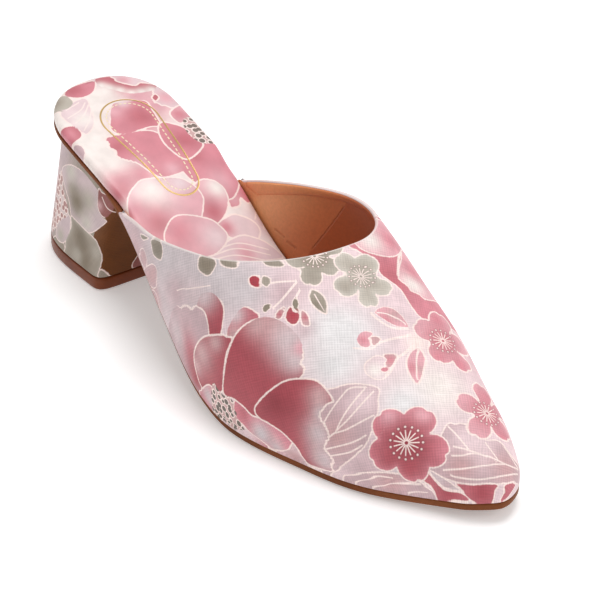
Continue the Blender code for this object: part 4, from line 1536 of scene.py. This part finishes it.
def woven(cloth):
    """Height of a slubby plain weave that lies askew."""
    inputs = {"Vector": cloth.place, "Angle": WEAVE_TURN}
    turned = cloth.lay("VectorRotate", inputs, rotation_type="Z_AXIS").outputs[0]
    threads = []
    for way, stretch in zip(cloth.apart(turned), SLUBS):
        slub = cloth.noise(1.0, 1.0, cloth.vectors("MULTIPLY", turned, stretch)[0])
        wave = cloth.maths("SINE", cloth.maths("MULTIPLY", way, 2 * math.pi / THREAD_PITCH))
        threads.append(cloth.maths("MULTIPLY_ADD", wave, WAVE_SHARE, slub))
    return cloth.maths("ADD", *threads)


def gilded(cloth, colour):
    """Adds the gilt frame and its broken inner line; returns what the shader needs for them."""
    gap, run, _ = cloth.kept("gilt")
    frame_line = cloth.within(gap, *GILT_LINE)
    dash = cloth.maths("FRACT", cloth.maths("MULTIPLY", run, 1 / DASH_PITCH))
    inner = cloth.within(cloth.maths("ADD", gap, DASH_INSET), *GILT_DASH)
    inner = cloth.maths("MULTIPLY", inner, cloth.less(dash, *DASH_SHARE))
    foil = cloth.maths("MAXIMUM", frame_line, inner)
    colour = cloth.blend(inner, colour, linear(*PALE_GILT))
    colour = cloth.blend(frame_line, colour, linear(*GILT))
    metal = cloth.maths("MULTIPLY", frame_line, GILT_METAL)
    return {"Base_Color": colour, "Metallic": metal, "Normal": cloth.bump(foil, -0.00012, 0.6)}


print("threads", THREAD_PITCH, "mm apart")

# %% Recipe for printed cloth
INK, HEAD_SOFT = 0.92, 0.3
DYE_CLOUDS, CLOUD_DEPTH = 0.16, (0.93, 1.05)
WEAVE_HEIGHTS = (0.7, 1.3)


def printed(name, weave=0.0, cream=0.0, gilt=False, bead=BEAD, between=BETWEEN, **sockets):
    """weave and cream are shares; bead and between are the colours of the seed heads."""
    cloth = Cloth(name, **sockets)
    colour, lines = hearts(cloth, *motifs(cloth))
    colour = cloth.blend(cloth.maths("MULTIPLY", lines, INK), colour, IVORY)
    head = cloth.less(cloth.read("seeds")["Fac"], 0.0, HEAD_SOFT)
    colour = cloth.blend(head, colour, seeds(cloth, bead, between))
    mottle = cloth.clouded(cloth.noise(DYE_CLOUDS, 4.0, cloth.place), *CLOUD_DEPTH)
    colour = cloth.blend(1.0, colour, mottle, "MULTIPLY")
    if gilt:
        return cloth.done(**gilded(cloth, colour))
    thread = woven(cloth)
    # Painted light and shade on the weave: raised threads lighter, hollows darker, besides the bump.
    light = cloth.ramp(thread, *WEAVE_HEIGHTS, 1 - weave, 1 + weave)
    colour = cloth.blend(1.0, colour, light, "MULTIPLY")
    if cream:
        colour = cloth.blend(cream, colour, linear(*DYES["cream"]))
    return cloth.done(Base_Color=colour, Normal=cloth.bump(thread, 0.0001, 0.5))


vamp_print = printed("vamp_print", 0.085, Roughness=0.6, Sheen_Weight=0.08)
# On the fold the cream share is a painted highlight along the rolled edge of the collar.
fold_print = printed("fold_print", 0.05, cream=0.55, Roughness=0.62)
heel_print = printed("heel_print", 0.06, bead=(186, 142, 138), between=(226, 208, 206), Roughness=0.62,
                     Specular_IOR_Level=0.25)
insole_print = printed("insole_print", gilt=True, bead=(128, 112, 105), Roughness=0.36,
                       Coat_Weight=0.08)
print("printed cloth in", len(vamp_print.node_tree.nodes), "nodes")

# %% [markdown]
# ## Lining, sole and wearing piece
# The lining is thin tan synthetic leather with a fine grain. A slanting seam joins its
# pale rear piece to a darker front one, and two small creases run beside it. Painted
# shade darkens the rear piece towards the seam and darkens the seam and creases. The
# sole is brown rubber with a cut, slightly rough edge, and the wearing piece is darker and
# smoother. None of them is one flat colour: grain and faint clouding come from noise.

# %% Brown rubber
CLOUD_SCALE, GRAIN_LIGHT, GRAIN_HEIGHT = 28.0, (0.93, 1.05), 0.35


def grained(name, dark, light, grain, depth, **sockets):
    skin = Finish(name, **sockets)
    colour = skin.blend(skin.clouded(skin.noise(CLOUD_SCALE, 3.0)), linear(*dark), linear(*light))
    fine = skin.noise(grain, 3.0)
    colour = skin.blend(1.0, colour, skin.clouded(fine, *GRAIN_LIGHT), "MULTIPLY")
    height = skin.maths("MULTIPLY", fine, GRAIN_HEIGHT)
    return skin.done(Base_Color=colour, Normal=skin.bump(height, depth, 0.6))


sole_brown = grained("sole_brown", (106, 56, 26), (132, 76, 42), 700.0, 0.0003, Roughness=0.6,
                     Specular_IOR_Level=0.15)
wear_brown = grained("wear_brown", (110, 50, 20), (130, 64, 30), 500.0, 0.0001, Roughness=0.36,
                     Specular_IOR_Level=0.3)
print("rubber for", sole_brown.name, "and", wear_brown.name)

# %% Lining leather
# Seam and creases are lines from X, Z to X, Z in millimetres, with the width of their trough.
SEAM = ((-5.2, 52.6), (-15.2, 30.9), 0.5)
CREASES = (((-32.0, 33.2), (-26.3, 31.8), 1.0), ((-25.6, 31.0), (-21.0, 29.6), 1.0))
# Painted shade: how far from the seam the rear piece darkens, and how much each trough darkens.
REAR_PAINTED_SHADE, TROUGH_PAINTED_SHADE, TROUGH_ENDS = (-26.0, -2.0), -0.12, (0.5, 0.4)
FINE_SCALE, FINE_LIGHT, FINE_HEIGHT = 900.0, (0.95, 1.04), 0.12
STREAK_SCALE, STREAK_LIGHT = 60.0, (0.96, 1.03)


def lined(name, rear, middle, front, soft, seams):
    """Lining leather: a rear piece, darkened by painted shade towards the seam, and a front one."""
    skin = Finish(name, Roughness=0.46)
    place = skin.vectors("MULTIPLY", skin.on_object(), (1 / MM, 0, 1 / MM))[0]

    def from_line(start, end):
        """Signed distance in mm from a line, and how far along it."""
        way = np.subtract(end, start)
        length = np.linalg.norm(way)
        moved = skin.vectors("SUBTRACT", place, (start[0], 0, start[1]))[0]
        sides = ((-way[1] / length, way[0] / length), way / length ** 2)
        return [skin.vectors("DOT_PRODUCT", moved, (float(x), 0, float(z)))["Value"] for x, z in sides]

    fine = skin.noise(FINE_SCALE, 3.0)
    streak = skin.noise(STREAK_SCALE, 2.0)
    across, _ = from_line(*SEAM[:2])
    # Painted shade: the rear colour darkens to the middle one towards the seam, deeper in the shoe.
    colour = skin.blend(skin.ramp(across, *REAR_PAINTED_SHADE), linear(*rear), linear(*middle))
    colour = skin.blend(skin.ramp(across, -soft, soft), colour, linear(*front))
    shade = skin.maths("MULTIPLY", skin.clouded(fine, *FINE_LIGHT), skin.clouded(streak, *STREAK_LIGHT))
    height = skin.maths("MULTIPLY", fine, FINE_HEIGHT)
    # Each trough is a dip in the bump and is also darkened as painted shade.
    for start, end, width in seams:
        across, ahead = from_line(start, end)
        trough = skin.ramp(skin.maths("ABSOLUTE", across), width, 0.0)
        from_middle = skin.maths("ABSOLUTE", skin.maths("SUBTRACT", ahead, 0.5))
        trough = skin.maths("MULTIPLY", trough, skin.ramp(from_middle, *TROUGH_ENDS))
        height = skin.maths("SUBTRACT", height, trough)
        shade = skin.maths("MULTIPLY", shade, skin.maths("MULTIPLY_ADD", trough, TROUGH_PAINTED_SHADE, 1.0))
    colour = skin.blend(1.0, colour, shade, "MULTIPLY")
    return skin.done(Base_Color=colour, Normal=skin.bump(height, 0.0004, 0.7))


lining_tan = lined("lining_tan", (250, 182, 126), (216, 126, 76), (196, 104, 56), 0.3, (SEAM, *CREASES))
# The facing is one strip with no seam: its whole change from rear to front colour is painted shade.
facing_tan = lined("facing_tan", (244, 166, 110), (216, 126, 76), (196, 104, 58), 6.0, ())
print("lining with a seam and", len(CREASES), "creases")

# %% [markdown]
# ## Dressing
# Now the pieces go on. The vamp's tube wears three finishes: print outside, the print paled
# by a painted highlight over the folded collar and the ends of the wings, and lining inside.

# %% Put the pieces on
def face_rows(mesh):
    """Lowest and highest row number among the corners of each face; 0 for the outside."""
    rows = flat_cloth(mesh)[:, 2]
    corners = [rows[list(face.vertices)] for face in mesh.polygons]
    return np.array([(row.min(), row.max()) for row in corners]).T


add_piece("vamp", vamp_mesh, [vamp_print, fold_print, lining_tan], "upper")
lowest, highest = face_rows(vamp_mesh)
lining = (highest > OUTER_ROWS + FOLD_ROWS) & (highest - lowest <= 1)
finish = np.where(highest == 0, 0, np.where(lining, 2, 1))
vamp_mesh.polygons.foreach_set("material_index", finish.astype(np.int32))
insole = add_piece("insole_pad", insole_mesh, [insole_print], "insole")
add_piece("heel_cover", heel_mesh, [heel_print], "heel_block")
add_piece("outsole_sheet", outsole_mesh, [sole_brown], "outsole")
add_piece("wearing_piece", top_piece_mesh, [wear_brown], "heel_top_piece")
add_piece("collar_facing", facing_mesh, [facing_tan], None)
